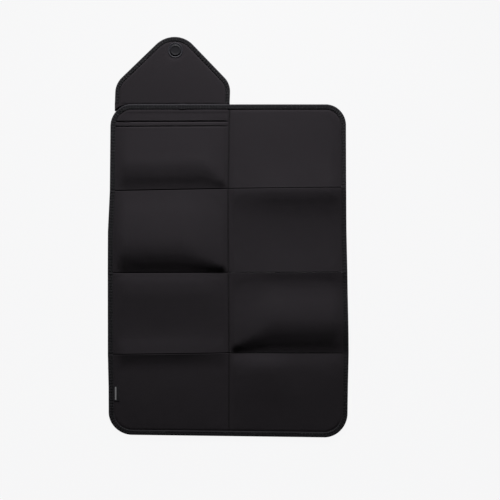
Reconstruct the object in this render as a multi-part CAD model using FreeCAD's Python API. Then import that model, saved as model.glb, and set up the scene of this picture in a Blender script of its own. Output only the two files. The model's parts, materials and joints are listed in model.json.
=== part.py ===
import FreeCAD, Part
import math
import os

# Fold-up changing mat of neoprene foam, lying open with its face up.
# Two columns of four padded panels meet at fold lines, a tape binds the outer edge, and a
# pointed closing flap with a magnetic snap is sewn behind the top edge of the left column.
# The first left panel carries a flat slit pocket.
#
# Millimetres, +Z up, the mat rests on z = 0. x = 0 is the centre fold and +Y points to the
# flap. The origin is the middle of the open mat's footprint, flap included.

# ---------------------------------------------------------------- driving sizes
MAT_WIDTH = 457.0
MAT_LENGTH = 635.0               # without the flap
ROWS = 4
MAT_CORNER_RADIUS = 40.0
PANEL_THICKNESS = 3.2            # all layers of one panel, unstressed edge to edge
SKIN_THICKNESS = 1.0             # one sheet of neoprene
CREASE_GAP = 1.0                 # open width of a fold line
SEAM_ALLOWANCE = 2.0             # strip in which two skins meet round the padding
BINDING_WIDTH = 10.0             # edge tape, as seen on the face
BINDING_TAPE = 0.6               # thickness of the tape
EDGE_FIT = 0.2                   # tape's inner edge to the step in the skin

FOLD_ROOM = 2.6                  # room for loft between two layers at the centre fold
LAYER_CLEARANCE = 0.6            # between the stacks at the half and the quarter fold

POCKET_HEADER_DEPTH = 32.0       # mat's top edge down to the pocket's slit
POCKET_SLIT = 1.0
POCKET_GAP = 0.4                 # empty pocket, between its lining and its front
MOUTH_BINDING_WIDTH = 8.2
MOUTH_TAPE = 0.4
MOUTH_TONGUE = 0.5               # pocket front pressed thin inside its mouth binding

FLAP_WIDTH = 219.7
FLAP_REACH = 129.0               # mat's top edge to the flap's tip
FLAP_CENTRE_X = -107.5
FLAP_SLOPE = math.radians(45)    # slanted edges against the X axis
FLAP_SHOULDER_RADIUS = 40.0
FLAP_TIP_RADIUS = 49.5
FLAP_BINDING_WIDTH = 6.0

SNAP_X = -105.0
SNAP_HEIGHT = 103.0              # mat's top edge to the snap's axis
SNAP_RADIUS = 9.3                # housing of the flap's half
SNAP_STAND = 3.0                 # housing's height over the flap's face
SNAP_SHELL = 0.5
SNAP_EDGE_ROUND = 0.8
SNAP_HOLE_RADIUS = 2.2           # socket for the stud of the mat's half
SNAP_DISH_RADIUS = 5.5
SNAP_DISH_DEPTH = 0.35
SNAP_BASE_THICKNESS = 0.4
FLANGE_RADIUS = 14.0
FLANGE_THICKNESS = 0.6
SHANK_RADIUS = 3.0
WASHER_RADIUS = 9.0
WASHER_THICKNESS = 0.6
SNAP_FIT = 0.2
SOCKET_PLATE_THICKNESS = 0.4
WELL_FLOOR_CLEARANCE = 0.4       # closed housing to the floor of the well
WELL_SIDE_CLEARANCE = 1.1
WELL_RING_THICKNESS = 0.5
STUD_RADIUS = 1.6
STUD_TIP_DEPTH = 0.3             # stud's tip below the mat's back

LABEL_LENGTH = 30.0
LABEL_WIDTH = 9.5
LABEL_THICKNESS = 0.4
LABEL_EDGE_INSET = 8.7           # mat's left edge to the label
LABEL_RISE = 66.5                # mat's bottom edge to the label's lower end
JOIN_X = -95.0                   # where the two ends of the edge tape overlap
JOIN_LENGTH = 12.0
JOIN_THICKNESS = 0.5

# ---------------------------------------------------------------- sizes that follow
ROW_LENGTH = MAT_LENGTH / ROWS
HALF_GAP = CREASE_GAP / 2
MAT_TOP = (MAT_LENGTH - FLAP_REACH) / 2
MAT_BOTTOM = MAT_TOP - MAT_LENGTH
MID_PLANE = PANEL_THICKNESS / 2
SKIN_FLOOR = PANEL_THICKNESS - SKIN_THICKNESS
PADDING_INSET = BINDING_WIDTH + SEAM_ALLOWANCE
PADDING_CREASE_INSET = HALF_GAP + SEAM_ALLOWANCE
LINING_TOP = SKIN_FLOOR - POCKET_GAP
HEADER_BOTTOM = MAT_TOP - POCKET_HEADER_DEPTH
MOUTH_TOP = HEADER_BOTTOM - POCKET_SLIT
MOUTH_BOTTOM = MOUTH_TOP - MOUTH_BINDING_WIDTH

CENTRE_AXIS_Z = PANEL_THICKNESS + FOLD_ROOM / 2
HALF_AXIS_Z = 2 * CENTRE_AXIS_Z + LAYER_CLEARANCE
QUARTER_AXIS_Z = 2 * HALF_AXIS_Z + LAYER_CLEARANCE
LOWER_QUARTER_AXIS_Z = 2 * HALF_AXIS_Z - QUARTER_AXIS_Z
WELL_FLOOR = SKIN_FLOOR - WASHER_THICKNESS - SOCKET_PLATE_THICKNESS
SNAP_ENTRY = WELL_FLOOR - WELL_FLOOR_CLEARANCE   # how far the closed housing dips in
FLAP_STANDOFF = SNAP_STAND - SNAP_ENTRY
FLAP_AXIS_Z = QUARTER_AXIS_Z + (PANEL_THICKNESS + FLAP_STANDOFF) / 2
QUARTER_CREASE_Y = MAT_TOP - ROW_LENGTH
HALF_CREASE_Y = MAT_TOP - 2 * ROW_LENGTH
LOWER_QUARTER_CREASE_Y = MAT_TOP - 3 * ROW_LENGTH

FLAP_ROOT = MAT_TOP + CREASE_GAP
FLAP_PEAK = MAT_TOP + FLAP_REACH + FLAP_TIP_RADIUS * (1 / math.cos(FLAP_SLOPE) - 1)
SNAP_Y = MAT_TOP + SNAP_HEIGHT
# The flap turns about the mat's top edge, and row 2 about the first crease.
WELL_Y = 2 * QUARTER_CREASE_Y - (2 * MAT_TOP - SNAP_Y)
WELL_RADIUS = SNAP_RADIUS + WELL_SIDE_CLEARANCE
LABEL_X = LABEL_EDGE_INSET - MAT_WIDTH / 2
LABEL_Y = MAT_BOTTOM + LABEL_RISE

LEFT, RIGHT = -1, 1
SIDE_NAMES = {LEFT: "left", RIGHT: "right"}
BEYOND = 5.0                     # how far a cutting shape runs past what it cuts


# ---------------------------------------------------------------- plane shapes
def corner_arc(before, here, after):
    """Start, middle and end of the tangent arc that rounds one corner of an outline."""
    point = FreeCAD.Vector(here[0], here[1], 0)
    back = FreeCAD.Vector(before[0], before[1], 0).sub(point).normalize()
    ahead = FreeCAD.Vector(after[0], after[1], 0).sub(point).normalize()
    half_angle = back.getAngle(ahead) / 2
    radius = here[2]
    tangent = radius / math.tan(half_angle)
    centre = point + (back + ahead).normalize() * (radius / math.sin(half_angle))
    middle = centre + point.sub(centre).normalize() * radius
    return point + back * tangent, middle, point + ahead * tangent


def prism(corners, z_low, z_high):
    """Upright solid over a closed outline of (x, y, corner radius)."""
    count = len(corners)
    arcs = []
    for index, here in enumerate(corners):
        before = corners[index - 1]
        after = corners[(index + 1) % count]
        if here[2] > 0:
            arcs.append(corner_arc(before, here, after))
        else:
            point = FreeCAD.Vector(here[0], here[1], 0)
            arcs.append((point, None, point))
    edges = []
    for index, (start, middle, end) in enumerate(arcs):
        if middle is not None:
            edges.append(Part.Arc(start, middle, end).toShape())
        edges.append(Part.LineSegment(end, arcs[(index + 1) % count][0]).toShape())
    face = Part.Face(Part.Wire(edges))
    face.translate(FreeCAD.Vector(0, 0, z_low))
    return face.extrude(FreeCAD.Vector(0, 0, z_high - z_low))


def block(x_low, x_high, y_low, y_high, z_low, z_high):
    corner = FreeCAD.Vector(x_low, y_low, z_low)
    return Part.makeBox(x_high - x_low, y_high - y_low, z_high - z_low, corner)


def disc(x, y, radius, z_low, z_high):
    return Part.makeCylinder(radius, z_high - z_low, FreeCAD.Vector(x, y, z_low))


def turned_over(shape):
    """The same layer on the panel's other side."""
    return shape.mirror(FreeCAD.Vector(0, 0, MID_PLANE), FreeCAD.Vector(0, 0, 1))


def panel_plate(panel, edge_inset, crease_inset, z_low, z_high):
    """Flat plate of one panel, set in from the mat's edge and from the fold lines."""
    side, row = panel
    outer_x = side * (MAT_WIDTH / 2 - edge_inset)
    inner_x = side * crease_inset
    y_high = MAT_TOP - (row - 1) * ROW_LENGTH - (edge_inset if row == 1 else crease_inset)
    y_low = MAT_TOP - row * ROW_LENGTH + (edge_inset if row == ROWS else crease_inset)
    radius = max(MAT_CORNER_RADIUS - edge_inset, 0)
    corners = [
        (inner_x, y_low, 0),
        (outer_x, y_low, radius if row == ROWS else 0),
        (outer_x, y_high, radius if row == 1 else 0),
        (inner_x, y_high, 0),
    ]
    if side == LEFT:
        corners.reverse()
    return prism(corners, z_low, z_high)


def flap_plate(edge_inset, root_inset, z_low, z_high):
    """Flat plate of the flap's pointed outline, set in from its edge and from its root."""
    half_width = FLAP_WIDTH / 2 - edge_inset
    peak = FLAP_PEAK - edge_inset / math.cos(FLAP_SLOPE)
    shoulder = peak - half_width * math.tan(FLAP_SLOPE)
    root = FLAP_ROOT + root_inset
    corners = [
        (FLAP_CENTRE_X - half_width, root, 0),
        (FLAP_CENTRE_X + half_width, root, 0),
        (FLAP_CENTRE_X + half_width, shoulder, FLAP_SHOULDER_RADIUS - edge_inset),
        (FLAP_CENTRE_X, peak, FLAP_TIP_RADIUS - edge_inset),
        (FLAP_CENTRE_X - half_width, shoulder, FLAP_SHOULDER_RADIUS - edge_inset),
    ]
    return prism(corners, z_low, z_high)


# ---------------------------------------------------------------- layers of a panel
def face_skin(panel):
    """Upper neoprene sheet, its edges pressed down to meet the back sheet."""
    sheet = panel_plate(panel, BINDING_WIDTH + EDGE_FIT, HALF_GAP, SKIN_FLOOR, PANEL_THICKNESS)
    hem_top = PANEL_THICKNESS - BINDING_TAPE
    hem = panel_plate(panel, BINDING_TAPE, HALF_GAP, MID_PLANE, hem_top)
    room = panel_plate(panel, PADDING_INSET, PADDING_CREASE_INSET, MID_PLANE, hem_top)
    return sheet.fuse(hem.cut(room)).removeSplitter()


def back_skin(panel):
    return turned_over(face_skin(panel))


def foam_pad(panel):
    return panel_plate(panel, PADDING_INSET, PADDING_CREASE_INSET, SKIN_THICKNESS, SKIN_FLOOR)


def edge_binding(panel):
    """Tape folded round the mat's outer edge, open at the fold lines."""
    wrap = panel_plate(panel, 0, HALF_GAP, 0, PANEL_THICKNESS)
    inside = panel_plate(panel, BINDING_WIDTH, -BEYOND, -BEYOND, PANEL_THICKNESS + BEYOND)
    slot = panel_plate(panel, BINDING_TAPE, -BEYOND, BINDING_TAPE, PANEL_THICKNESS - BINDING_TAPE)
    return wrap.cut(inside).cut(slot)


# ---------------------------------------------------------------- pocket of the first panel
def pocket_band(y_low, y_high):
    """Cutting block across the left column between two heights of the panel."""
    return block(-MAT_WIDTH, BEYOND, y_low, y_high, -BEYOND, PANEL_THICKNESS + BEYOND)


def pocket_run(y_low, y_high, side_inset, z_low, z_high):
    """Straight strip across the pocket, between the panel's side seams."""
    x_low = PADDING_INSET + side_inset - MAT_WIDTH / 2
    x_high = -PADDING_CREASE_INSET - side_inset
    return block(x_low, x_high, y_low, y_high, z_low, z_high)


def pocket_lining():
    first = (LEFT, 1)
    return panel_plate(first, PADDING_INSET, PADDING_CREASE_INSET, SKIN_THICKNESS, LINING_TOP)


def pocket_header():
    """Strip over the slit, stitched down to the lining along its lower edge."""
    strip = face_skin((LEFT, 1)).common(pocket_band(HEADER_BOTTOM, MAT_TOP + BEYOND))
    seam = panel_plate(
        (LEFT, 1), PADDING_INSET, PADDING_CREASE_INSET, LINING_TOP, SKIN_FLOOR
    ).common(pocket_band(HEADER_BOTTOM, HEADER_BOTTOM + SEAM_ALLOWANCE))
    return strip.fuse(seam).removeSplitter()


def pocket_front():
    """Outer wall of the pocket, pressed thin where its mouth is bound."""
    wall = face_skin((LEFT, 1)).common(pocket_band(MAT_BOTTOM, MOUTH_TOP))
    room = pocket_run(MOUTH_BOTTOM, MOUTH_TOP + BEYOND, 0, 0, PANEL_THICKNESS + BEYOND)
    tongue_top = PANEL_THICKNESS - MOUTH_TAPE
    tongue = pocket_run(
        MOUTH_BOTTOM, MOUTH_TOP - MOUTH_TAPE, EDGE_FIT, tongue_top - MOUTH_TONGUE, tongue_top
    )
    return wall.cut(room).fuse(tongue).removeSplitter()


def pocket_mouth_binding():
    """Tape folded over the pocket front's upper edge."""
    tongue_top = PANEL_THICKNESS - MOUTH_TAPE
    tongue_bottom = tongue_top - MOUTH_TONGUE
    low = tongue_bottom - MOUTH_TAPE
    bottom = MOUTH_BOTTOM + EDGE_FIT
    wrap = pocket_run(bottom, MOUTH_TOP, EDGE_FIT, low, PANEL_THICKNESS)
    slot = pocket_run(
        MOUTH_BOTTOM - BEYOND, MOUTH_TOP - MOUTH_TAPE, 0, tongue_bottom, tongue_top
    )
    return wrap.cut(slot)


# ---------------------------------------------------------------- closing flap
def flap_skin():
    """Upper sheet of the flap, pressed down along its edge and root."""
    sheet = flap_plate(FLAP_BINDING_WIDTH + EDGE_FIT, 0, SKIN_FLOOR, PANEL_THICKNESS)
    hem_top = PANEL_THICKNESS - BINDING_TAPE
    hem = flap_plate(BINDING_TAPE, 0, MID_PLANE, hem_top)
    inset = FLAP_BINDING_WIDTH + SEAM_ALLOWANCE
    room = flap_plate(inset, SEAM_ALLOWANCE, MID_PLANE, hem_top)
    return sheet.fuse(hem.cut(room)).removeSplitter()


def flap_face():
    shank_hole = disc(SNAP_X, SNAP_Y, SHANK_RADIUS + SNAP_FIT, 0, PANEL_THICKNESS)
    return flap_skin().cut(shank_hole)


def flap_back():
    return turned_over(flap_skin())


def flap_stiffener():
    """Firm inner board that keeps the flap's shape, holed for the snap's washer."""
    inset = FLAP_BINDING_WIDTH + SEAM_ALLOWANCE
    board = flap_plate(inset, SEAM_ALLOWANCE, SKIN_THICKNESS, SKIN_FLOOR)
    return board.cut(disc(SNAP_X, SNAP_Y, WASHER_RADIUS + SNAP_FIT, 0, PANEL_THICKNESS))


def flap_binding():
    wrap = flap_plate(0, 0, 0, PANEL_THICKNESS)
    inside = flap_plate(FLAP_BINDING_WIDTH, -BEYOND, -BEYOND, PANEL_THICKNESS + BEYOND)
    slot = flap_plate(BINDING_TAPE, -BEYOND, BINDING_TAPE, PANEL_THICKNESS - BINDING_TAPE)
    return wrap.cut(inside).cut(slot)


def flap_root_seam():
    """Strip that holds the flap, sewn flat behind the mat's top edge."""
    x_low = FLAP_CENTRE_X - FLAP_WIDTH / 2
    return block(x_low, -HALF_GAP, MAT_TOP - BINDING_WIDTH, MAT_TOP, 0, BINDING_TAPE)


def left_row1_binding():
    """Corner binding whose lower leaf makes way for the flap's root."""
    x_low = FLAP_CENTRE_X - FLAP_WIDTH / 2
    way = block(x_low, BEYOND, MAT_TOP - BINDING_WIDTH, MAT_TOP + BEYOND, -BEYOND, BINDING_TAPE)
    return edge_binding((LEFT, 1)).cut(way)


# ---------------------------------------------------------------- snap on the flap
def snap_flange():
    """Raised ring round the housing."""
    top = PANEL_THICKNESS + FLANGE_THICKNESS
    ring = disc(SNAP_X, SNAP_Y, FLANGE_RADIUS, PANEL_THICKNESS, top)
    ring = ring.cut(disc(SNAP_X, SNAP_Y, SNAP_RADIUS + SNAP_FIT, PANEL_THICKNESS, top))
    rim = [edge for edge in ring.Edges if abs(edge.BoundBox.ZMin - top) < SNAP_FIT
           and edge.BoundBox.XLength > 2 * SNAP_RADIUS + 2 * SNAP_FIT + SNAP_FIT]
    return ring.makeFillet(FLANGE_THICKNESS * 0.45, rim)


def snap_housing():
    """Cap over the magnet, dished round the hole that takes the stud."""
    floor = PANEL_THICKNESS + SNAP_BASE_THICKNESS
    top = PANEL_THICKNESS + SNAP_STAND
    cap = disc(SNAP_X, SNAP_Y, SNAP_RADIUS, PANEL_THICKNESS, top)
    rim = [edge for edge in cap.Edges if abs(edge.BoundBox.ZMin - top) < SNAP_FIT]
    cap = cap.makeFillet(SNAP_EDGE_ROUND, rim)
    dish = Part.makeCone(
        SNAP_HOLE_RADIUS, SNAP_DISH_RADIUS, SNAP_DISH_DEPTH,
        FreeCAD.Vector(SNAP_X, SNAP_Y, top - SNAP_DISH_DEPTH),
    )
    hollow = disc(SNAP_X, SNAP_Y, SNAP_RADIUS - SNAP_SHELL, 0, top - SNAP_DISH_DEPTH - SNAP_SHELL)
    hole = disc(SNAP_X, SNAP_Y, SNAP_HOLE_RADIUS, floor, top + BEYOND)
    return cap.cut(dish).cut(hollow).cut(hole)


def snap_magnet():
    bottom = PANEL_THICKNESS + SNAP_BASE_THICKNESS
    top = PANEL_THICKNESS + SNAP_STAND - SNAP_DISH_DEPTH - SNAP_SHELL
    ring = disc(SNAP_X, SNAP_Y, SNAP_RADIUS - SNAP_SHELL - SNAP_FIT, bottom, top)
    return ring.cut(disc(SNAP_X, SNAP_Y, SNAP_HOLE_RADIUS + SNAP_FIT, bottom, top))


def snap_base():
    """Plate under the magnet, with the hollow shank that goes through the flap's face."""
    top = PANEL_THICKNESS + SNAP_BASE_THICKNESS
    radius = SNAP_RADIUS - SNAP_SHELL - SNAP_FIT
    plate = disc(SNAP_X, SNAP_Y, radius, PANEL_THICKNESS, top)
    shank = disc(SNAP_X, SNAP_Y, SHANK_RADIUS, SKIN_FLOOR - WASHER_THICKNESS, PANEL_THICKNESS)
    return plate.fuse(shank).removeSplitter()


def snap_washer():
    """Washer inside the flap that the shank is clenched over."""
    bottom = SKIN_FLOOR - WASHER_THICKNESS
    ring = disc(SNAP_X, SNAP_Y, WASHER_RADIUS, bottom, SKIN_FLOOR)
    return ring.cut(disc(SNAP_X, SNAP_Y, SHANK_RADIUS + SNAP_FIT, bottom, SKIN_FLOOR))


# ---------------------------------------------------------------- snap behind row 2
def well(radius, z_low, z_high):
    return disc(SNAP_X, WELL_Y, radius, z_low, z_high)


def left_row2_back():
    """Back sheet with the round well that the closed snap dips into."""
    ring_seat = well(FLANGE_RADIUS, 0, WELL_RING_THICKNESS)
    return back_skin((LEFT, 2)).cut(well(WELL_RADIUS, 0, SKIN_THICKNESS)).cut(ring_seat)


def left_row2_foam():
    return foam_pad((LEFT, 2)).cut(well(WELL_RADIUS, SKIN_THICKNESS, SKIN_FLOOR))


def socket_ring():
    """Flat ring round the well, level with the mat's back."""
    outer = well(FLANGE_RADIUS, 0, WELL_RING_THICKNESS)
    return outer.cut(well(WELL_RADIUS, 0, WELL_RING_THICKNESS))


def socket_plate():
    """Steel floor of the well with the stud that centres the magnet."""
    plate = well(WELL_RADIUS, WELL_FLOOR, SKIN_FLOOR - WASHER_THICKNESS)
    stud = well(STUD_RADIUS, STUD_TIP_DEPTH, WELL_FLOOR)
    return plate.fuse(stud).removeSplitter()


def socket_washer():
    return well(WASHER_RADIUS, SKIN_FLOOR - WASHER_THICKNESS, SKIN_FLOOR)


# ---------------------------------------------------------------- trim
def side_label():
    """Small woven label beside the left edge binding, low on the fourth row."""
    top = PANEL_THICKNESS + LABEL_THICKNESS
    return block(
        LABEL_X, LABEL_X + LABEL_WIDTH, LABEL_Y, LABEL_Y + LABEL_LENGTH, PANEL_THICKNESS, top
    )


def binding_join():
    """Overlapped end of the edge tape on the top edge."""
    top = PANEL_THICKNESS + JOIN_THICKNESS
    x_high = JOIN_X + JOIN_LENGTH
    return block(JOIN_X, x_high, MAT_TOP - BINDING_WIDTH, MAT_TOP, PANEL_THICKNESS, top)


# ---------------------------------------------------------------- the whole mat
def panel_nodes(panel):
    """The four layers of an ordinary padded panel, by node name."""
    side, row = panel
    name = f"{SIDE_NAMES[side]}_row{row}"
    return {
        f"{name}_face": face_skin(panel),
        f"{name}_foam": foam_pad(panel),
        f"{name}_back": back_skin(panel),
        f"{name}_binding": edge_binding(panel),
    }


def build():
    nodes = {}
    for side in (LEFT, RIGHT):
        for row in range(1, ROWS + 1):
            nodes.update(panel_nodes((side, row)))
    del nodes["left_row1_face"], nodes["left_row1_foam"]
    nodes["left_row1_binding"] = left_row1_binding()
    nodes["left_row2_back"] = left_row2_back()
    nodes["left_row2_foam"] = left_row2_foam()
    makers = (
        pocket_lining, pocket_header, pocket_front, pocket_mouth_binding,
        flap_face, flap_back, flap_stiffener, flap_binding, flap_root_seam,
        snap_flange, snap_housing, snap_magnet, snap_base, snap_washer,
        socket_ring, socket_plate, socket_washer, side_label, binding_join,
    )
    for maker in makers:
        nodes[maker.__name__] = maker()
    return nodes


def report_axes():
    """The fold axes, for the joints: each is a line along X or Y at this place."""
    print(f"centre fold     x 0        z {CENTRE_AXIS_Z:.3f}")
    print(f"quarter fold    y {QUARTER_CREASE_Y:.3f}  z {QUARTER_AXIS_Z:.3f}")
    print(f"half fold       y {HALF_CREASE_Y:.3f}  z {HALF_AXIS_Z:.3f}")
    print(f"lower quarter   y {LOWER_QUARTER_CREASE_Y:.3f}  z {LOWER_QUARTER_AXIS_Z:.3f}")
    print(f"flap fold       y {MAT_TOP:.3f}  z {FLAP_AXIS_Z:.3f}")


os.makedirs("parts", exist_ok=True)
for node, shape in build().items():
    shape.exportStep(f"parts/{node}.step")
    print(f"{node:24s} solids {len(shape.Solids)} valid {shape.isValid()} mm3 {shape.Volume:.1f}")
report_axes()
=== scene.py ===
import json
import math

import bmesh
import bpy
import numpy as np
from bpy.props import FloatProperty, FloatVectorProperty, PointerProperty
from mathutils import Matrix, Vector


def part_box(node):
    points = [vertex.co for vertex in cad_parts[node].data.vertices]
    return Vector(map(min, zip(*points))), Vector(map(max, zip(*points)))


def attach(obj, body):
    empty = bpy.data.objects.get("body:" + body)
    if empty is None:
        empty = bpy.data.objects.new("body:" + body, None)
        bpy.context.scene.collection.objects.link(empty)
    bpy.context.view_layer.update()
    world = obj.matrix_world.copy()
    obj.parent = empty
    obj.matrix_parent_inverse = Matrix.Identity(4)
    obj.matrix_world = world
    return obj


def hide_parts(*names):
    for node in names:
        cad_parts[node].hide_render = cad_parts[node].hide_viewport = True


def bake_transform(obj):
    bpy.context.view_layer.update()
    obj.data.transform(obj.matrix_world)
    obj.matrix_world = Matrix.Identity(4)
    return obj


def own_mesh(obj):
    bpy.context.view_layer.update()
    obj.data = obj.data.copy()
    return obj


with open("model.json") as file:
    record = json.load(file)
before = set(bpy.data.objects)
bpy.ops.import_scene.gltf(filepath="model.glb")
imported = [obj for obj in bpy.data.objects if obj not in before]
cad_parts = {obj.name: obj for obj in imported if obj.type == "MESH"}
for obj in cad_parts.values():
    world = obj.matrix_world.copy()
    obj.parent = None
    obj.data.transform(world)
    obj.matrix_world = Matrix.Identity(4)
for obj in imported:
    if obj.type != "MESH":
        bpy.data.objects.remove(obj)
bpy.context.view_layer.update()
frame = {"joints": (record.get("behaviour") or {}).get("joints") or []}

bl_info = {
    "name": "Fold-up changing mat",
    "version": (1, 0, 0),
    "blender": (4, 5, 0),
    "location": "3D View > Sidebar > Mat",
    "description": "Dresses the folding frame of a changing mat in neoprene, tape and thread",
    "category": "Object",
}

MM = 0.001
LEFT, RIGHT = -1, 1
SIDE_NAMES = {LEFT: "left", RIGHT: "right"}
ROWS = (1, 2, 3, 4)


# ================================================================ places from the frame
def joint_place(name):
    """Place of a fold axis, in metres."""
    return next(joint["pos_m"] for joint in frame["joints"] if joint["name"] == name)


MAT_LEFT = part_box("left_row2_binding")[0][0]
MAT_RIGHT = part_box("right_row2_binding")[1][0]
MAT_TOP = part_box("right_row1_binding")[1][1]
MAT_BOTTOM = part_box("left_row4_binding")[0][1]
BINDING_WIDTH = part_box("left_row2_binding")[1][0] - MAT_LEFT
ROW_LINES = [
    MAT_TOP,
    joint_place("quarter_fold")[1],
    joint_place("half_fold")[1],
    joint_place("quarter_fold_lower")[1],
    MAT_BOTTOM,
]
FLAP_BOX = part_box("flap_binding")
FLAP_LEFT, FLAP_RIGHT, FLAP_TIP = FLAP_BOX[0][0], FLAP_BOX[1][0], FLAP_BOX[1][1]
FLAP_X = (FLAP_LEFT + FLAP_RIGHT) / 2
SNAP_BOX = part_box("snap_housing")
SNAP_PLACE = (SNAP_BOX[0] + SNAP_BOX[1]) / 2
WELL_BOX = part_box("socket_ring")
WELL_PLACE = (WELL_BOX[0] + WELL_BOX[1]) / 2
HEADER_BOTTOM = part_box("pocket_header")[0][1]
WELT_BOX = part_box("pocket_mouth_binding")
LABEL_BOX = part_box("side_label")
JOIN_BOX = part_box("binding_join")


# ================================================================ what a user can change
def length(name, description, millimetres):
    return FloatProperty(name=name, description=description, default=millimetres * MM,
                         unit="LENGTH")


def colour(name, description, *rgb):
    return FloatVectorProperty(name=name, description=description, subtype="COLOR", size=3,
                               default=rgb)


class MatShape(bpy.types.PropertyGroup):
    corner_radius: length("Corner radius", "Rounding of the mat's two upper corners", 40)
    lower_corner_radius: length(
        "Lower corner radius", "Rounding of the mat's two lower corners", 45)
    skin_height: length("Panel thickness", "Back to face of a panel, without its loft", 3.0)
    loft: length("Loft", "Crown of the padding between its seams", 0.9)
    fold_memory: FloatProperty(
        name="Fold memory", description="How far the panels arch off the floor, 1 as it lies",
        default=1.0, min=0.0, max=1.2)
    seam_half_width: length(
        "Fold strip", "Half the width of the strip that bends at a fold line", 3.5)
    seam_dip: length("Seam depth", "How deep the stitching pulls a fold line in", 1.2)
    groove_half_width: length(
        "Seam groove", "Half the width of the groove along a fold line", 1.2)
    pucker: length("Tape pucker", "Ripple that the zigzag stitching leaves in the tape", 0.26)
    zigzag_pitch: length("Zigzag pitch", "Length of one zigzag along the edge tape", 5.6)
    stitch_pitch: length(
        "Stitch pitch", "Distance from stitch to stitch in a straight seam", 3.5)
    stitch_length: length("Stitch length", "Length of one straight stitch", 2.8)
    thread_radius: length("Thread radius", "Half the thickness of the sewing thread", 0.26)


class MatColours(bpy.types.PropertyGroup):
    neoprene: colour("Neoprene", "Knit face of the panels and the flap", 0.0215, 0.0187, 0.0218)
    tape: colour("Edge tape", "Tape round the mat and the flap", 0.0168, 0.0160, 0.0190)
    thread: colour("Thread", "Thread of the straight seams", 0.016, 0.015, 0.017)
    edge_thread: colour(
        "Edge thread", "Heavier thread of the zigzag on the tape", 0.009, 0.0088, 0.0095)
    lacquer: colour("Snap lacquer", "Black lacquer of the snap", 0.0165, 0.016, 0.0198)
    steel: colour("Snap steel", "Bare metal in the snap", 0.32, 0.32, 0.33)
    label: colour("Label", "Woven label", 0.026, 0.025, 0.029)
    label_band: colour("Label band", "Plain pale band woven into the label", 0.42, 0.42, 0.43)
    floor: colour("Floor", "Pale floor under the mat", 0.915, 0.915, 0.92)


def shape():
    return bpy.context.scene.mat_shape


def colours():
    return bpy.context.scene.mat_colours


# ================================================================ how the mat lies
# Height in mm of each panel's underside over the floor, from its upper edge (0) to its lower
# edge (1), along the middle of the panel. A fold line between two panels is a valley where
# both end at 0, and a ridge where both end high.
FOLD_MEMORY = {
    (LEFT, 1): ((0, 0.6), (0.3, 1.8), (0.55, 3.9), (0.72, 5.4), (0.84, 4.0), (0.94, 1.3),
                (1, 0.3)),
    (LEFT, 2): ((0, 0.2), (0.1, 1.3), (0.3, 4.6), (0.5, 7.4), (0.62, 8.6), (0.69, 8.7),
                (0.78, 7.7), (0.87, 5.1), (0.95, 1.9), (1, 0)),
    (LEFT, 3): ((0, 0), (0.1, 1.7), (0.22, 2.2), (0.4, 1.2), (0.56, 0.4), (0.7, 0.3),
                (0.8, 1.0), (0.9, 2.7), (1, 4.3)),
    (LEFT, 4): ((0, 4.3), (0.06, 2.4), (0.12, 1.0), (0.18, 0.3), (0.26, 0.1), (0.4, 0.1),
                (1, 0.1)),
    (RIGHT, 1): ((0, 0.6), (0.3, 1.5), (0.5, 2.5), (0.7, 4.2), (0.85, 6.2), (1, 8.6)),
    (RIGHT, 2): ((0, 8.6), (0.04, 8.5), (0.1, 7.4), (0.2, 4.6), (0.32, 2.2), (0.45, 1.1),
                 (0.58, 1.0), (0.72, 1.7), (0.86, 3.2), (1, 5.0)),
    (RIGHT, 3): ((0, 5.0), (0.04, 4.3), (0.1, 3.2), (0.17, 2.9), (0.28, 4.0), (0.4, 6.2),
                 (0.52, 8.2), (0.62, 9.0), (0.73, 7.9), (0.84, 4.9), (0.94, 1.7), (1, 0.3)),
    (RIGHT, 4): ((0, 0.3), (0.05, 2.0), (0.1, 3.7), (0.16, 4.9), (0.22, 5.0), (0.32, 4.2),
                 (0.45, 3.0), (0.6, 1.5), (0.75, 0.6), (1, 0.2)),
}
# Where the crest lies in the panels whose crest runs down into the crossing of the folds.
CRESTS = {(LEFT, 1): 0.72, (LEFT, 2): 0.69, (RIGHT, 3): 0.62}
CREST_RUN = 85 * MM          # centre fold to where such a crest runs level
FIRST_CREST_RUN = 48 * MM    # the same in the first left panel
CREST_TAPER = 0.62           # how fast its height runs out on the way
CENTRE_RISE = 12 * MM        # centre fold to the foot of the arch beside it
EDGE_RAMP = 24 * MM          # full height down to the edge tape
EDGE_SHARE = {LEFT: 0.1, RIGHT: 0.55}    # share of the arch left at the edge tape
FADE, FADE_FROM, FADE_RUN = 0.62, 45 * MM, 95 * MM    # right of the last row lies flatter
RIPPLE = 0.35 * MM
RIPPLE_WAVES = ((41, 17, 0), (23, -37, 1.3), (61, 53, 4))
CREST_START = 0.22           # where a crest's run begins, as a share, at the centre fold
ROOT_RISE = 0.8 * MM         # how far the flap's root lifts the top edge
ROOT_SIDE, ROOT_DEPTH, ROOT_RAMP = 6 * MM, 18 * MM, 8 * MM   # where that rise begins

# How far the cloth lies from its true rectangle, in mm: a place down the mat in rows, the
# shifts to the right of the left edge, the centre and the right edge, then their shifts up.
OUTLINE_LIE = (
    (0.0, 2.2, 1.2, -4.8, 0.0, 0.0, 0.0),
    (1.0, 0.6, -1.4, -4.6, -6.8, -2.4, 0.0),
    (1.5, -3.0, -1.6, -3.8, -5.0, -3.4, -1.6),
    (2.0, -3.4, -1.0, -2.2, -4.6, -4.0, -3.2),
    (3.0, -3.2, 0.0, 0.4, -2.0, 1.0, 1.0),
    (3.4, -1.8, 0.0, -1.0, -1.0, 0.4, 0.6),
    (4.0, -1.4, -0.2, -2.4, 3.6, 0.6, -2.4),
)


def smooth(t):
    t = np.clip(t, 0, 1)
    return t * t * (3 - 2 * t)


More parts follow.
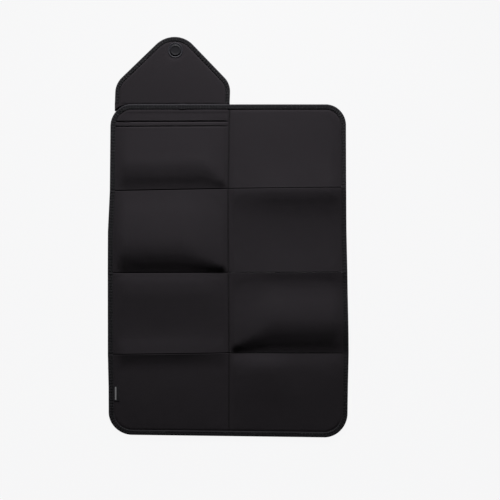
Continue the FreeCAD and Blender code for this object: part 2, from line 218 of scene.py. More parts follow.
def curve_through(points, t):
    """Height at t of the smooth curve through (place, height) points."""
    places = np.array([p[0] for p in points], float)
    heights = np.array([p[1] for p in points], float)
    slopes = np.gradient(heights, places)
    index = np.clip(np.searchsorted(places, t, side="right") - 1, 0, len(places) - 2)
    span = places[index + 1] - places[index]
    s = (t - places[index]) / span
    return (
        (2 * s**3 - 3 * s**2 + 1) * heights[index]
        + (s**3 - 2 * s**2 + s) * span * slopes[index]
        + (3 * s**2 - 2 * s**3) * heights[index + 1]
        + (s**3 - s**2) * span * slopes[index + 1]
    )


def corner_radius(up):
    return shape().corner_radius if up > 0 else shape().lower_corner_radius


def outline_distance(x, y):
    """How far inside the mat's rounded outline a point is, negative outside."""
    middle_x, middle_y = (MAT_LEFT + MAT_RIGHT) / 2, (MAT_TOP + MAT_BOTTOM) / 2
    radius = np.where(np.asarray(y) > middle_y, corner_radius(1), corner_radius(-1))
    qx = np.abs(x - middle_x) - (MAT_RIGHT - MAT_LEFT) / 2 + radius
    qy = np.abs(y - middle_y) - (MAT_TOP - MAT_BOTTOM) / 2 + radius
    outside = np.hypot(np.maximum(qx, 0), np.maximum(qy, 0))
    return radius - outside - np.minimum(np.maximum(qx, qy), 0)


def row_distance(y):
    """Distance to the nearest fold line across the mat."""
    return np.min([np.abs(y - line) for line in ROW_LINES[1:-1]], axis=0)


def fold_distance(x, y):
    """Distance to the nearest fold line."""
    return np.minimum(np.abs(x), row_distance(y))


def arch(x, y):
    """Height of the mat's underside over the floor."""
    x, y = np.broadcast_arrays(np.asarray(x, float), np.asarray(y, float))
    total = np.zeros(x.shape)
    reach = np.where((x < 0) & (y > ROW_LINES[1]), FIRST_CREST_RUN, CREST_RUN)
    run = np.clip(CREST_START + (1 - CREST_START) * np.abs(x) / reach, 0, 1)
    for (side, row), points in FOLD_MEMORY.items():
        high, low = ROW_LINES[row - 1], ROW_LINES[row]
        here = (x * side >= 0) & (y <= high) & ((y > low) | (row == ROWS[-1]))
        if row == 1:
            here = here | ((x * side >= 0) & (y > high))
        down = np.clip((high - y) / (high - low), 0, 1)
        if (side, row) in CRESTS:
            crest = CRESTS[side, row]
            moved = 1 - (1 - crest) * run
            above = crest * down / moved
            below = crest + (1 - crest) * (down - moved) / (1 - moved)
            down = np.where(down < moved, above, below)
        fade = 1 - FADE * smooth((np.abs(x) - FADE_FROM) / FADE_RUN) * ((side, row) == (RIGHT, 4))
        total = np.where(here, curve_through(points, down) * fade, total)
    ripple = sum(np.sin(a * x + b * y + c) for a, b, c in RIPPLE_WAVES) / len(RIPPLE_WAVES)
    total = total * MM * shape().fold_memory + RIPPLE * (ripple + 1) / 2
    total = total * run ** CREST_TAPER * smooth(np.abs(x) / CENTRE_RISE)
    outward = smooth((np.abs(x) - (MAT_RIGHT - BINDING_WIDTH - EDGE_RAMP)) / EDGE_RAMP)
    share = np.where(x < 0, EDGE_SHARE[LEFT], EDGE_SHARE[RIGHT])
    return total * (1 - (1 - share) * outward) + root_lift(x, y)


def root_lift(x, y):
    """Rise of the mat's top edge over the flap's root, which is sewn behind it."""
    along = smooth((x - FLAP_LEFT) / ROOT_SIDE) * smooth(-x / ROOT_SIDE)
    return ROOT_RISE * along * smooth((y - MAT_TOP + ROOT_DEPTH) / ROOT_RAMP)


CROWN_RUN = 14 * MM
CROWN_RIM = 12 * MM          # slope of the padding's crown beside the edge tape
TUCK_DEPTH = 0.9 * MM        # how far cloth is pressed down where it runs in under the tape
TUCK_LAP = 0.6 * MM          # how far in under the tape it is pressed fully
TUCK_RUN = 3 * MM            # length of the slope beside the tape
PADDING = {}                 # simulated crown of each panel, 0 at its seams and up to 1


def crown(x, y):
    """Crown of the padding, 0 at every seam and up to 1."""
    seam = fold_distance(x, y)
    rim = np.maximum(outline_distance(x, y) - BINDING_WIDTH, 0)
    if not PADDING:
        return (1 - np.exp(-seam / CROWN_RUN)) * (1 - np.exp(-rim / CROWN_RUN))
    total = np.zeros(np.shape(x))
    for (side, _), (across, along, heights) in PADDING.items():
        i = np.clip(np.interp(x, across, range(len(across))), 0, len(across) - 1.001)
        j = np.clip(np.interp(y, along, range(len(along))), 0, len(along) - 1.001)
        i0, j0 = i.astype(int), j.astype(int)
        fi, fj = i - i0, j - j0
        value = (heights[i0, j0] * (1 - fi) * (1 - fj) + heights[i0 + 1, j0] * fi * (1 - fj)
                 + heights[i0, j0 + 1] * (1 - fi) * fj + heights[i0 + 1, j0 + 1] * fi * fj)
        here = (x * side > 0) & (y <= along[-1]) & (y >= along[0])
        total = np.where(here, value, total)
    return total * smooth(rim / CROWN_RIM)


def groove(x, y):
    """1 along a fold line's stitching, 0 outside its groove."""
    return 1 - smooth(fold_distance(x, y) / shape().groove_half_width)


def face_height(x, y):
    """Height of a panel's face: its skin over the arch, crowned by the padding."""
    form = shape()
    x, y = np.broadcast_arrays(np.asarray(x, float), np.asarray(y, float))
    tucked = 1 - smooth((outline_distance(x, y) - BINDING_WIDTH + TUCK_LAP) / TUCK_RUN)
    return (arch(x, y) + form.skin_height + form.loft * crown(x, y)
            - form.seam_dip * groove(x, y) - TUCK_DEPTH * tucked)


def back_height(x, y):
    return arch(x, y) + 0.4 * shape().seam_dip * groove(x, y)


def lie(points):
    """The points as the cloth lies, its outline a little off the true rectangle."""
    points = np.array(points, float)
    x, y = points[:, 0], points[:, 1]
    table = np.array(OUTLINE_LIE)
    lines = np.interp(table[:, 0], range(len(ROW_LINES)), ROW_LINES)
    shifts = [np.interp(y, lines[::-1], table[::-1, k]) for k in range(1, 7)]
    share = np.clip(x / MAT_RIGHT, -1, 1)
    for axis, (left, centre, right) in enumerate((shifts[:3], shifts[3:])):
        side = np.where(share < 0, left, right)
        points[:, axis] += MM * (centre + (side - centre) * np.abs(share))
    return points


def fold_ends(first, last, half):
    """Places on either side of a fold line as it lies, on its left looking from first to last."""
    (x0, y0, _), (x1, y1, _) = lie([(*first, 0), (*last, 0)])
    length = math.hypot(x1 - x0, y1 - y0)
    across = np.array([-(y1 - y0), x1 - x0, 0]) * half / length
    middle = np.array([(x0 + x1) / 2, (y0 + y1) / 2, 0])
    return tuple(middle + across), tuple(middle - across)


# ================================================================ meshes
SHARP_ANGLE = math.radians(48)


def placed(name, data):
    """A new object of the data, in the scene."""
    thing = bpy.data.objects.new(name, data)
    bpy.context.scene.collection.objects.link(thing)
    return thing


def new_object(name, points, faces, material, slot_name, uvs=None, crease=None):
    """A closed mesh at the origin with its faces outwards, smooth but for sharp edges."""
    mesh = bpy.data.meshes.new(name)
    mesh.from_pydata([tuple(p) for p in points], [], [tuple(f) for f in faces])
    if uvs is not None:
        layer = mesh.uv_layers.new(name="UVMap")
        loops = np.zeros(len(mesh.loops), np.int32)
        mesh.loops.foreach_get("vertex_index", loops)
        layer.data.foreach_set("uv", np.asarray(uvs, float)[loops].ravel())
    # crease: how deep in a seam each point is, for the painted shade in the knit
    if crease is not None:
        layer = mesh.attributes.new("crease", "FLOAT", "POINT")
        layer.data.foreach_set("value", np.asarray(crease, float).ravel())
    mesh.materials.append(material)
    mesh.update()
    mesh.validate()
    mesh.shade_smooth()
    mesh.set_sharp_from_angle(angle=SHARP_ANGLE)
    work = bmesh.new()
    work.from_mesh(mesh)
    bmesh.ops.recalc_face_normals(work, faces=work.faces)
    work.to_mesh(mesh)
    work.free()
    piece = placed(name, mesh)
    return piece


def ticks(low, high, fine_low=False, fine_high=False, step=2.4 * MM, fine=0.4 * MM):
    """Grid places from low to high, closer together next to a seam."""
    zone = shape().seam_half_width
    inner_low = low + zone if fine_low else low
    inner_high = high - zone if fine_high else high
    parts = []
    if fine_low:
        parts.append(np.linspace(low, inner_low, int(round(zone / fine)) + 1)[:-1])
    count = max(int(round((inner_high - inner_low) / step)), 1)
    parts.append(np.linspace(inner_low, inner_high, count + 1))
    if fine_high:
        parts.append(np.linspace(inner_high, high, int(round(zone / fine)) + 1)[1:])
    return np.concatenate(parts)


def grid_faces(across, along, offset=0, flip=False):
    """Quads of a grid of across by along vertices."""
    i, j = np.meshgrid(np.arange(across - 1), np.arange(along - 1), indexing="ij")
    a = (i * along + j).ravel() + offset
    quads = np.stack([a, a + along, a + along + 1, a + 1], axis=1)
    return quads[:, ::-1] if flip else quads


def slab_points(x, y, top, bottom):
    """Vertices and faces of a closed slab over a grid of places."""
    across, along = x.shape
    upper = np.stack([x.ravel(), y.ravel(), top.ravel()], axis=1)
    lower = np.stack([x.ravel(), y.ravel(), bottom.ravel()], axis=1)
    count = across * along
    ring = (
        [i * along for i in range(across)]
        + [(across - 1) * along + j for j in range(1, along)]
        + [i * along + along - 1 for i in range(across - 2, -1, -1)]
        + [j for j in range(along - 2, 0, -1)]
    )
    walls = [
        (ring[k] + count, ring[(k + 1) % len(ring)] + count, ring[(k + 1) % len(ring)], ring[k])
        for k in range(len(ring))
    ]
    faces = np.concatenate([
        grid_faces(across, along),
        grid_faces(across, along, count, flip=True),
        np.array(walls),
    ])
    return np.concatenate([upper, lower]), faces


def corner_rounded(x, y, side, row):
    """Grid places drawn in so that the grid's outer corner follows the mat's round corner."""
    if row == 1:
        up = 1
        centre_y = MAT_TOP - corner_radius(up)
    elif row == ROWS[-1]:
        up = -1
        centre_y = MAT_BOTTOM + corner_radius(up)
    else:
        return x, y
    centre_x = side * (MAT_RIGHT - corner_radius(up))
    dx, dy = (x - centre_x) * side, (y - centre_y) * up
    inside = (dx > 0) & (dy > 0)
    length = np.hypot(dx, dy)
    pull = np.where(inside, np.maximum(dx, dy) / np.maximum(length, 1e-9), 1)
    return (
        np.where(inside, centre_x + dx * pull * side, x),
        np.where(inside, centre_y + dy * pull * up, y),
    )


def row_span(row, edge, gap):
    """Lower and upper end of a row, an edge in from the mat's outline, a gap from a fold."""
    return (ROW_LINES[row] + (edge if row == ROWS[-1] else gap),
            ROW_LINES[row - 1] - (edge if row == 1 else gap))


TUCK = 2 * MM                # how far a panel's edge runs in under the tape
SLIT = 0.02 * MM             # half the open gap between two right-hand panels


CENTRE_SHADE, ROW_SHADE = 2.6 * MM, 1.8 * MM     # reach of the painted shade in a fold line's seam


def painted_seam_shade(x, y):
    """How deep in a stitched seam each place is, for the painted shade that darkens the knit
    there.
    """
    centre = 1 - smooth(np.abs(x) / CENTRE_SHADE)
    return np.maximum(centre, 0.5 * (1 - smooth(row_distance(y) / ROW_SHADE)))


def panel_lines(side, row):
    """Grid places across and along one panel, edge tape and fold strips left out."""
    seam = shape().seam_half_width
    outer = MAT_RIGHT - BINDING_WIDTH + TUCK
    across = side * ticks(seam, outer)
    fine = side == RIGHT
    low, high = row_span(row, BINDING_WIDTH - TUCK, SLIT if fine else seam)
    along = ticks(low, high, fine and row < ROWS[-1], fine and row > 1)
    return np.sort(across), along


def panel_slab(side, row, along=None, top=face_height, bottom=back_height):
    """Vertices and faces of a panel, or of a band of it between given heights."""
    lines_x, lines_y = panel_lines(side, row)
    if along is not None:
        lines_y = along
    x, y = np.meshgrid(lines_x, lines_y, indexing="ij")
    x, y = corner_rounded(x, y, side, row)
    points, faces = slab_points(x, y, top(x, y), bottom(x, y))
    return lie(points), faces, np.tile(painted_seam_shade(x, y).ravel(), 2)


TAPE_TOP = 2.6 * MM          # above this a tape ripples under its zigzag


def swept(run, profile, base, scale=1.0):
    """A band that follows a run of (x, y, inward x, inward y): points, faces and UVs."""
    run = np.asarray(run, float)
    profile = np.asarray(profile, float) * MM
    stations, around = len(run), len(profile)
    steps = np.hypot(*np.diff(run[:, :2], axis=0).T)
    travel = np.concatenate([[0], np.cumsum(steps)])
    girth = np.concatenate([[0], np.cumsum(np.hypot(*np.diff(profile, axis=0).T))])
    depth, height = profile[:, 0] * scale, profile[:, 1]
    x = run[:, None, 0] + run[:, None, 2] * depth
    y = run[:, None, 1] + run[:, None, 3] * depth
    z = base(run[:, 0], run[:, 1])[:, None] + height + np.zeros_like(x)
    form = shape()
    wave = np.sin(2 * math.pi * travel / form.zigzag_pitch)
    z = z + form.pucker * wave[:, None] * (height > TAPE_TOP)
    points = np.stack([x.ravel(), y.ravel(), z.ravel()], axis=1)
    uvs = np.stack([
        np.repeat(travel, around), np.tile(girth, stations)
    ], axis=1)
    faces = [
        (i * around + j, i * around + (j + 1) % around,
         (i + 1) * around + (j + 1) % around, (i + 1) * around + j)
        for i in range(stations - 1) for j in range(around)
    ]
    faces.append(tuple(range(around))[::-1])
    faces.append(tuple(range((stations - 1) * around, stations * around)))
    return points, faces, uvs


def lathe(place, profile, segments=72):
    """A round piece from (radius, height) in mm above the place."""
    profile = np.asarray(profile, float) * MM
    turn = np.arange(segments) * 2 * math.pi / segments
    rings = [(r, z) for r, z in profile if r > 0]
    points = [
        (place[0] + r * math.cos(a), place[1] + r * math.sin(a), place[2] + z)
        for r, z in rings for a in turn
    ]
    last = len(rings) - 1
    pairs = [(k, k + 1) for k in range(last)]
    if profile[0][0] > 0 and profile[-1][0] > 0:
        pairs.append((last, 0))
    faces = [
        (a * segments + i, a * segments + (i + 1) % segments,
         b * segments + (i + 1) % segments, b * segments + i)
        for a, b in pairs for i in range(segments)
    ]
    for end, ring in ((profile[0], 0), (profile[-1], last)):
        if end[0] == 0:
            tip = len(points)
            points.append((place[0], place[1], place[2] + end[1]))
            faces += [(ring * segments + i, ring * segments + (i + 1) % segments, tip)
                      for i in range(segments)]
    return points, faces


# ================================================================ materials
def plug(tree, value, socket):
    """Link an output to a socket, or set the socket to a plain value."""
    if isinstance(value, bpy.types.NodeSocket):
        tree.links.new(value, socket)
    else:
        socket.default_value = value


def add(tree, kind, **settings):
    """A node whose settings name its inputs, with _ for a space, or its own attributes."""
    node = tree.nodes.new(kind)
    for key, value in settings.items():
        label = key.replace("_", " ")
        if label in node.inputs:
            plug(tree, value, node.inputs[label])
        else:
            setattr(node, key, value)
    return node


def maths(tree, operation, first, second=None, clamp=False):
    """A Math node on sockets or plain numbers; gives its output socket."""
    node = add(tree, "ShaderNodeMath", operation=operation, use_clamp=clamp)
    plug(tree, first, node.inputs[0])
    if second is not None:
        plug(tree, second, node.inputs[1])
    return node.outputs[0]


def humps(tree, turns):
    """One rounded hump for each whole turn."""
    return maths(tree, "ABSOLUTE", maths(tree, "SINE", maths(tree, "MULTIPLY", turns, math.pi)))


def new_group(name, inputs, outputs, kind="ShaderNodeTree"):
    """An empty node group with named sockets; gives it and its two end nodes."""
    tree = bpy.data.node_groups.new(name, kind)
    for label, value_kind, default in inputs:
        socket = tree.interface.new_socket(
            label, in_out="INPUT", socket_type="NodeSocket" + value_kind)
        if default is not None:
            socket.default_value = default
    for label, value_kind in outputs:
        tree.interface.new_socket(
            label, in_out="OUTPUT", socket_type="NodeSocket" + value_kind)
    return tree, add(tree, "NodeGroupInput").outputs, add(tree, "NodeGroupOutput").inputs


def knit_group():
    """Rows of small loops: a height for bump and a mask that is bright on the loops."""
    tree, start, end = new_group(
        "knit_loops",
        [("Vector", "Vector", None), ("Columns", "Float", 1200.0), ("Courses", "Float", 1500.0)],
        [("Height", "Float"), ("Mask", "Float")])
    split = add(tree, "ShaderNodeSeparateXYZ", Vector=start["Vector"])
    half = humps(tree, maths(tree, "MULTIPLY", split.outputs[0], start["Columns"]))
    course = maths(tree, "MULTIPLY", split.outputs[1], start["Courses"])
    rung = humps(tree, maths(tree, "ADD", course, maths(tree, "MULTIPLY", half, 0.6)))
    loop = maths(tree, "MULTIPLY", maths(tree, "POWER", half, 0.5), maths(tree, "ADD", rung, 0.5))
    plug(tree, loop, end["Height"])
    plug(tree, maths(tree, "POWER", loop, 2.0, clamp=True), end["Mask"])
    return tree


def rib_group():
    """Ribs across a tape, laid by the piece's own UV map in metres."""
    tree, start, end = new_group(
        "tape_ribs", [("Vector", "Vector", None), ("Ribs", "Float", 900.0)],
        [("Height", "Float")])
    split = add(tree, "ShaderNodeSeparateXYZ", Vector=start["Vector"])
    wave = humps(tree, maths(tree, "MULTIPLY", split.outputs[0], start["Ribs"]))
    across = maths(tree, "MULTIPLY", split.outputs[1], start["Ribs"])
    cross = maths(tree, "SINE", maths(tree, "MULTIPLY", across, 2 * math.pi))
    plug(tree, maths(tree, "ADD", wave, maths(tree, "MULTIPLY", cross, 0.3)), end["Height"])
    return tree


def wear_group():
    """Soft cloudy variation with a few specks of lint, as two masks."""
    tree, start, end = new_group(
        "handling",
        [("Vector", "Vector", None), ("Cloud Scale", "Float", 14.0),
         ("Lint Scale", "Float", 420.0)],
        [("Cloud", "Float"), ("Lint", "Float")])
    cloud, lint = [
        add(tree, "ShaderNodeTexNoise", Vector=start["Vector"], Scale=start[scale],
            Detail=detail, Roughness=roughness).outputs[0]
        for scale, detail, roughness in (("Cloud Scale", 4.0, 0.55), ("Lint Scale", 2.0, 0.7))]
    specks = add(tree, "ShaderNodeMapRange", Value=lint, From_Min=0.68, From_Max=0.80)
    plug(tree, cloud, end["Cloud"])
    plug(tree, specks.outputs[0], end["Lint"])
    return tree


def group_node(tree, name, maker, vector, **settings):
    """The outputs of a node group on a vector; the group is made once."""
    group = bpy.data.node_groups.get(name) or maker()
    return add(tree, "ShaderNodeGroup", node_tree=group, Vector=vector, **settings).outputs


def blank_material(name, **sockets):
    """A material, its tree, its Principled shader's inputs, and the places on a piece."""
    material = bpy.data.materials.new(name)
    material.use_nodes = True
    tree = material.node_tree
    shader = tree.nodes["Principled BSDF"].inputs
    for label, value in sockets.items():
        shader[label.replace("_", " ")].default_value = value
    return material, tree, shader, add(tree, "ShaderNodeTexCoord").outputs


def share_of(colour, share):
    return (*[min(c * share, 1) for c in colour], 1)


def mixed(tree, shader, first, second, mask):
    """Base colour that runs from the first to the second by a mask."""
    mix = add(tree, "ShaderNodeMix", data_type="RGBA", A=first, B=second, Factor=mask)
    plug(tree, mix.outputs["Result"], shader["Base Color"])
    return mix.outputs["Result"]


def tint(tree, shader, colour, lighter, mask):
    """Base colour that runs from a colour to a lighter share of it by a mask."""
    return mixed(tree, shader, (*colour, 1), share_of(colour, lighter), mask)


def roughness_by(tree, shader, low, high, mask):
    span = add(tree, "ShaderNodeMapRange", To_Min=low, To_Max=high, Value=mask)
    plug(tree, span.outputs[0], shader["Roughness"])


def bump(tree, shader, height, distance, strength, under=None):
    node = add(tree, "ShaderNodeBump", Distance=distance, Strength=strength, Height=height)
    if under is not None:
        plug(tree, under, node.inputs["Normal"])
    plug(tree, node.outputs[0], shader["Normal"])
    return node.outputs[0]


def kept(make):
    """Makes a material the first time its name is asked for, then gives the same one."""
    return lambda name, *details: bpy.data.materials.get(name) or make(name, *details)


@kept
def knit_material(name, colour, columns, courses, depth, sheen):
    """Knit cloth with soft wear, and painted shade that darkens it where its crease attribute says
    a seam is.
    """
    material, tree, shader, places = blank_material(
        name, Sheen_Weight=sheen, Sheen_Roughness=0.45, Specular_IOR_Level=0.28,
        Sheen_Tint=(1.0, 0.92, 1.0, 1), Specular_Tint=(1.0, 0.93, 1.0, 1))
    knit = group_node(tree, "knit_loops", knit_group, places["Object"], Columns=columns,
                      Courses=courses)
    wear = group_node(tree, "handling", wear_group, places["Object"])
    shade = maths(tree, "MULTIPLY", knit["Mask"], 0.55)
    cloud = maths(tree, "MULTIPLY", wear["Cloud"], 0.5)
    mask = maths(tree, "ADD", maths(tree, "ADD", shade, cloud), wear["Lint"], clamp=True)
    # painted shade: the knit runs down to 0.12 of its colour in the groove of each seam
    seam = add(tree, "ShaderNodeAttribute", attribute_name="crease").outputs["Fac"]
    mixed(tree, shader, tint(tree, shader, colour, 1.45, mask), share_of(colour, 0.12), seam)
    roughness_by(tree, shader, 0.74, 0.92, wear["Cloud"])
    soft = bump(tree, shader, wear["Cloud"], 0.4 * MM, 0.4)
    bump(tree, shader, knit["Height"], depth, 0.8, soft)
    return material


def neoprene():
    return knit_material("neoprene_knit", colours().neoprene, 1150.0, 1450.0, 0.1 * MM, 0.12)


def lining():
    return knit_material("pocket_lining_weave", colours().tape, 1500.0, 1500.0, 0.1 * MM, 0.05)


PAINTED_SHEEN_BAND = (9.2 * MM, 11.2 * MM)     # round the tape's section: where the painted sheen on its edge fold begins


@kept
def tape(name):
    """Ribbed tape, lighter by painted sheen where it turns over the edge, by its place round the
    section.
    """
    material, tree, shader, places = blank_material(
        name, Sheen_Weight=0.06, Sheen_Roughness=0.35, Specular_IOR_Level=0.25)
    ribs = group_node(tree, "tape_ribs", rib_group, places["UV"])
    wear = group_node(tree, "handling", wear_group, places["Object"], Cloud_Scale=26.0)
    mask = maths(tree, "ADD", maths(tree, "MULTIPLY", ribs["Height"], 0.4), wear["Lint"],
                 clamp=True)
    around = add(tree, "ShaderNodeSeparateXYZ", Vector=places["UV"])
    painted_edge_sheen = add(tree, "ShaderNodeMapRange", interpolation_type="SMOOTHSTEP",
                 From_Min=PAINTED_SHEEN_BAND[0], From_Max=PAINTED_SHEEN_BAND[1], Value=around.outputs["Y"])
    # painted sheen: the tape's fold over the edge is 2.2 times lighter
    mixed(tree, shader, tint(tree, shader, colours().tape, 1.6, mask),
          share_of(colours().tape, 2.2), painted_edge_sheen.outputs["Result"])
    roughness_by(tree, shader, 0.62, 0.84, wear["Cloud"])
    bump(tree, shader, ribs["Height"], 0.14 * MM, 0.9)
    return material


@kept
def sewing_thread(name, colour):
    material, tree, shader, places = blank_material(
        name, Sheen_Weight=0.15, Sheen_Roughness=0.3, Specular_IOR_Level=0.5)
    twist = add(tree, "ShaderNodeTexWave", Scale=900.0, Distortion=1.5,
                bands_direction="DIAGONAL", Vector=places["Object"]).outputs["Fac"]
    tint(tree, shader, colour, 1.7, twist)
    roughness_by(tree, shader, 0.42, 0.6, twist)
    bump(tree, shader, twist, 0.05 * MM, 0.8)
    return material


@kept
def lacquer(name, lighter):
    """Satin black lacquer, lighter in specks of wear; a lighter share above 1 gives a lit copy of
    it, a painted highlight.
    """
    material, tree, shader, places = blank_material(
        name, Metallic=0.0, Specular_IOR_Level=0.3, Coat_Weight=0.03, Coat_Roughness=0.4)
    wear = group_node(tree, "handling", wear_group, places["Object"], Cloud_Scale=90.0,
                      Lint_Scale=1300.0)
    tint(tree, shader, [c * lighter for c in colours().lacquer], 2.2, wear["Lint"])
    roughness_by(tree, shader, 0.5, 0.7, wear["Cloud"])
    bump(tree, shader, wear["Cloud"], 0.04 * MM, 0.3)
    return material


@kept
def steel(name):
    material, tree, shader, places = blank_material(name, Metallic=1.0)
    wear = group_node(tree, "handling", wear_group, places["Object"], Cloud_Scale=160.0)
    tint(tree, shader, colours().steel, 1.5, wear["Cloud"])
    roughness_by(tree, shader, 0.22, 0.44, wear["Cloud"])
    bump(tree, shader, wear["Cloud"], 0.03 * MM, 0.5)
    return material


@kept
def label_weave(name):
    """Dark satin label with one plain pale band near its outer edge."""
    material, tree, shader, places = blank_material(
        name, Sheen_Weight=0.2, Sheen_Roughness=0.3, Specular_IOR_Level=0.4)
    knit = group_node(tree, "knit_loops", knit_group, places["Object"], Columns=2600.0,
                      Courses=2600.0)
    split = add(tree, "ShaderNodeSeparateXYZ", Vector=places["UV"]).outputs
    across, along = [
        maths(tree, "LESS_THAN", maths(tree, "ABSOLUTE", maths(tree, "SUBTRACT", place, middle)),
              half)
        for place, middle, half in ((split[0], 0.27, 0.15), (split[1], 0.5, 0.43))]
    mixed(tree, shader, (*colours().label, 1), (*colours().label_band, 1),
          maths(tree, "MULTIPLY", across, along))
    roughness_by(tree, shader, 0.5, 0.7, knit["Mask"])
    bump(tree, shader, knit["Height"], 0.06 * MM, 0.8)
    return material


# ================================================================ stage
# Name, place, what it points at, watts, width, height and spread in degrees of each light.
LIGHTS = (
    ("key_light", (0.0, 1.3, 0.48), (0.0, 0.0, 0.8), 20.5, 0.7, 0.3, 110),
    ("top_light", (0.0, 0.2, 2.3), (0.0, 0.0, 0.0), 0.3, 1.6, 1.6, 180),
)
WORLD_LIGHT = 0.006
FLOOR_HALF = 6.0
FLOOR_DROP = 0.2 * MM
VIEW_CENTRE = (40.2 * MM, -25.5 * MM)
VIEW_WIDTH = 0.9565
CAMERA_HEIGHT = 2.6


class MAT_OT_stage(bpy.types.Operator):
    """Pale floor, soft studio light from the flap's end and a camera straight above"""
    bl_idname = "mat.stage"
    bl_label = "Stage"

    def execute(self, context):
        scene = context.scene
        scene.view_settings.view_transform = "Standard"
        make_floor()
        for light in LIGHTS:
            area_light(*light)
        scene.world = bpy.data.worlds.new("studio")
        scene.world.use_nodes = True
        background = scene.world.node_tree.nodes["Background"].inputs
        background["Color"].default_value = (1, 1, 1, 1)
        background["Strength"].default_value = WORLD_LIGHT
        place_camera(scene)
        return {"FINISHED"}


def make_floor():
    """A wide plane that glows evenly, so that it stays pale right round the black mat."""
    material = blank_material(
        "pale_floor", Roughness=0.9, Base_Color=(0.015, 0.015, 0.015, 1),
        Emission_Color=(*colours().floor, 1), Emission_Strength=1.0)[0]
    material.cycles.emission_sampling = "NONE"
    mesh = bpy.data.meshes.new("floor")
    corners = ((-1, -1), (1, -1), (1, 1), (-1, 1))
    mesh.from_pydata([(FLOOR_HALF * x, FLOOR_HALF * y, -FLOOR_DROP) for x, y in corners], [],
                     [(0, 1, 2, 3)])
    mesh.materials.append(material)
    return placed("floor", mesh)


def area_light(name, place, target, watts, width, height, spread):
    light = bpy.data.lights.new(name, "AREA")
    light.shape = "RECTANGLE"
    light.size, light.size_y = width, height
    light.energy = watts
    light.spread = math.radians(spread)
    lamp = placed(name, light)
    way = Vector(target) - Vector(place)
    lamp.rotation_euler = way.to_track_quat("-Z", "Y").to_euler()
    lamp.location = place


def place_camera(scene):
    """Straight above the mat, which lies a little left of and below the middle of the view."""
    scene.camera = placed("camera", bpy.data.cameras.new("camera"))
    scene.camera.data.sensor_width = 36.0
    scene.camera.data.lens = scene.camera.data.sensor_width * CAMERA_HEIGHT / VIEW_WIDTH
    scene.camera.location = (*VIEW_CENTRE, CAMERA_HEIGHT)


# ================================================================ panels
LOFT_CELL = 5.2 * MM         # mesh of the sheet that the padding is blown up from
LOFT_FRAMES = 18
LEAST_LOFT = 0.2 * MM
LOFT_CLOTH = {
    "quality": 5, "mass": 0.3, "tension_stiffness": 18, "compression_stiffness": 18,
    "shear_stiffness": 8, "bending_stiffness": 2, "use_pressure": True,
    "uniform_pressure_force": 3.0, "vertex_group_mass": "seams", "shrink_min": -0.006,
}


def blow_up_padding():
    """Blow up a sheet pinned along every seam, and keep its shape as the padding's crown."""
    points, faces, pinned, panels = [], [], [], []
    seam = shape().seam_half_width
    outer = MAT_RIGHT - BINDING_WIDTH
    for side in (LEFT, RIGHT):
        for row in ROWS:
            low, high = row_span(row, BINDING_WIDTH, seam)
            across = np.sort(side * np.linspace(seam, outer, int((outer - seam) / LOFT_CELL) + 1))
            along = np.linspace(low, high, int((high - low) / LOFT_CELL) + 1)
            x, y = np.meshgrid(across, along, indexing="ij")
            first = len(points)
            points += [tuple(p) for p in np.stack([x, y, 0 * x], axis=2).reshape(-1, 3)]
            faces += [tuple(f) for f in grid_faces(len(across), len(along), first)]
            border = np.ones(x.shape, bool)
            border[1:-1, 1:-1] = False
            pinned += [first + int(k) for k in np.flatnonzero(border)]
            panels.append((side, row, across, along, first))
    mesh = bpy.data.meshes.new("padding_sheet")
    mesh.from_pydata(points, [], faces)
    sheet = placed("padding_sheet", mesh)
    sheet.vertex_groups.new(name="seams").add(pinned, 1.0, "REPLACE")
    cloth = sheet.modifiers.new("cloth", "CLOTH")
    for key, value in LOFT_CLOTH.items():
        setattr(cloth.settings, key, value)
    cloth.settings.effector_weights.gravity = 0
    cloth.collision_settings.use_collision = False
    scene = bpy.context.scene
    cloth.point_cache.frame_start, cloth.point_cache.frame_end = 1, LOFT_FRAMES
    for moment in range(1, LOFT_FRAMES + 1):
        scene.frame_set(moment)
    blown = sheet.evaluated_get(bpy.context.evaluated_depsgraph_get()).to_mesh()
    heights = np.array([vertex.co.z for vertex in blown.vertices])
    scene.frame_set(1)
    bpy.data.objects.remove(sheet)
    bpy.data.meshes.remove(mesh)
    if heights.max() < LEAST_LOFT:
        raise RuntimeError("the padding did not blow up")
    for side, row, across, along, first in panels:
        block = heights[first:first + len(across) * len(along)].reshape(len(across), len(along))
        PADDING[side, row] = (across, along, np.clip(block / np.quantile(heights, 0.98), 0, 1.1))


class MAT_OT_padding(bpy.types.Operator):
    """Work out by cloth simulation how the padding crowns between its seams"""
    bl_idname = "mat.padding"
    bl_label = "Crown of the padding"

    def execute(self, context):
        blow_up_padding()
        return {"FINISHED"}


def body_name(side, row):
    return f"{SIDE_NAMES[side]}_row{row}"


def flatten_in_fold(piece):
    """Gives the piece its own copy of its mesh."""
    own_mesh(piece)


class MAT_OT_panels(bpy.types.Operator):
    """Seven padded panels, each crowned between its seams and arched by its folds"""
    bl_idname = "mat.panels"
    bl_label = "Padded panels"

    def execute(self, context):
        for side in (LEFT, RIGHT):
            for row in ROWS:
                if (side, row) == (LEFT, 1):
                    continue
                name = body_name(side, row)
                points, faces, crease = panel_slab(side, row)
                pad = new_object(f"{name}_pad", points, faces, neoprene(), "neoprene",
                                 crease=crease)
                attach(pad, name)
                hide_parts(f"{name}_face", f"{name}_foam", f"{name}_back")
                flatten_in_fold(pad)
        return {"FINISHED"}


# ================================================================ pocket
LINING_TOP, LAYER_BOTTOM = 1.4 * MM, 1.6 * MM    # heights over the back of the mat
EDGE_STEP = 0.5 * MM         # grid beside the pocket's edges
HEADER_FINE = 3 * MM         # width of that grid along the header
FRONT_ROLL, FRONT_DROP = 2.5 * MM, 0.75 * MM     # the front dips under the welt
WELT_DROP, WELT_BULGE = 1.1 * MM, 1.3 * MM
HEADER_ROLL, HEADER_DROP, HEADER_RISE = 1.6 * MM, 0.9 * MM, 0.25 * MM


def pocket_floor(x, y):
    return back_height(x, y) + LINING_TOP


def pocket_underside(x, y):
    return back_height(x, y) + LAYER_BOTTOM


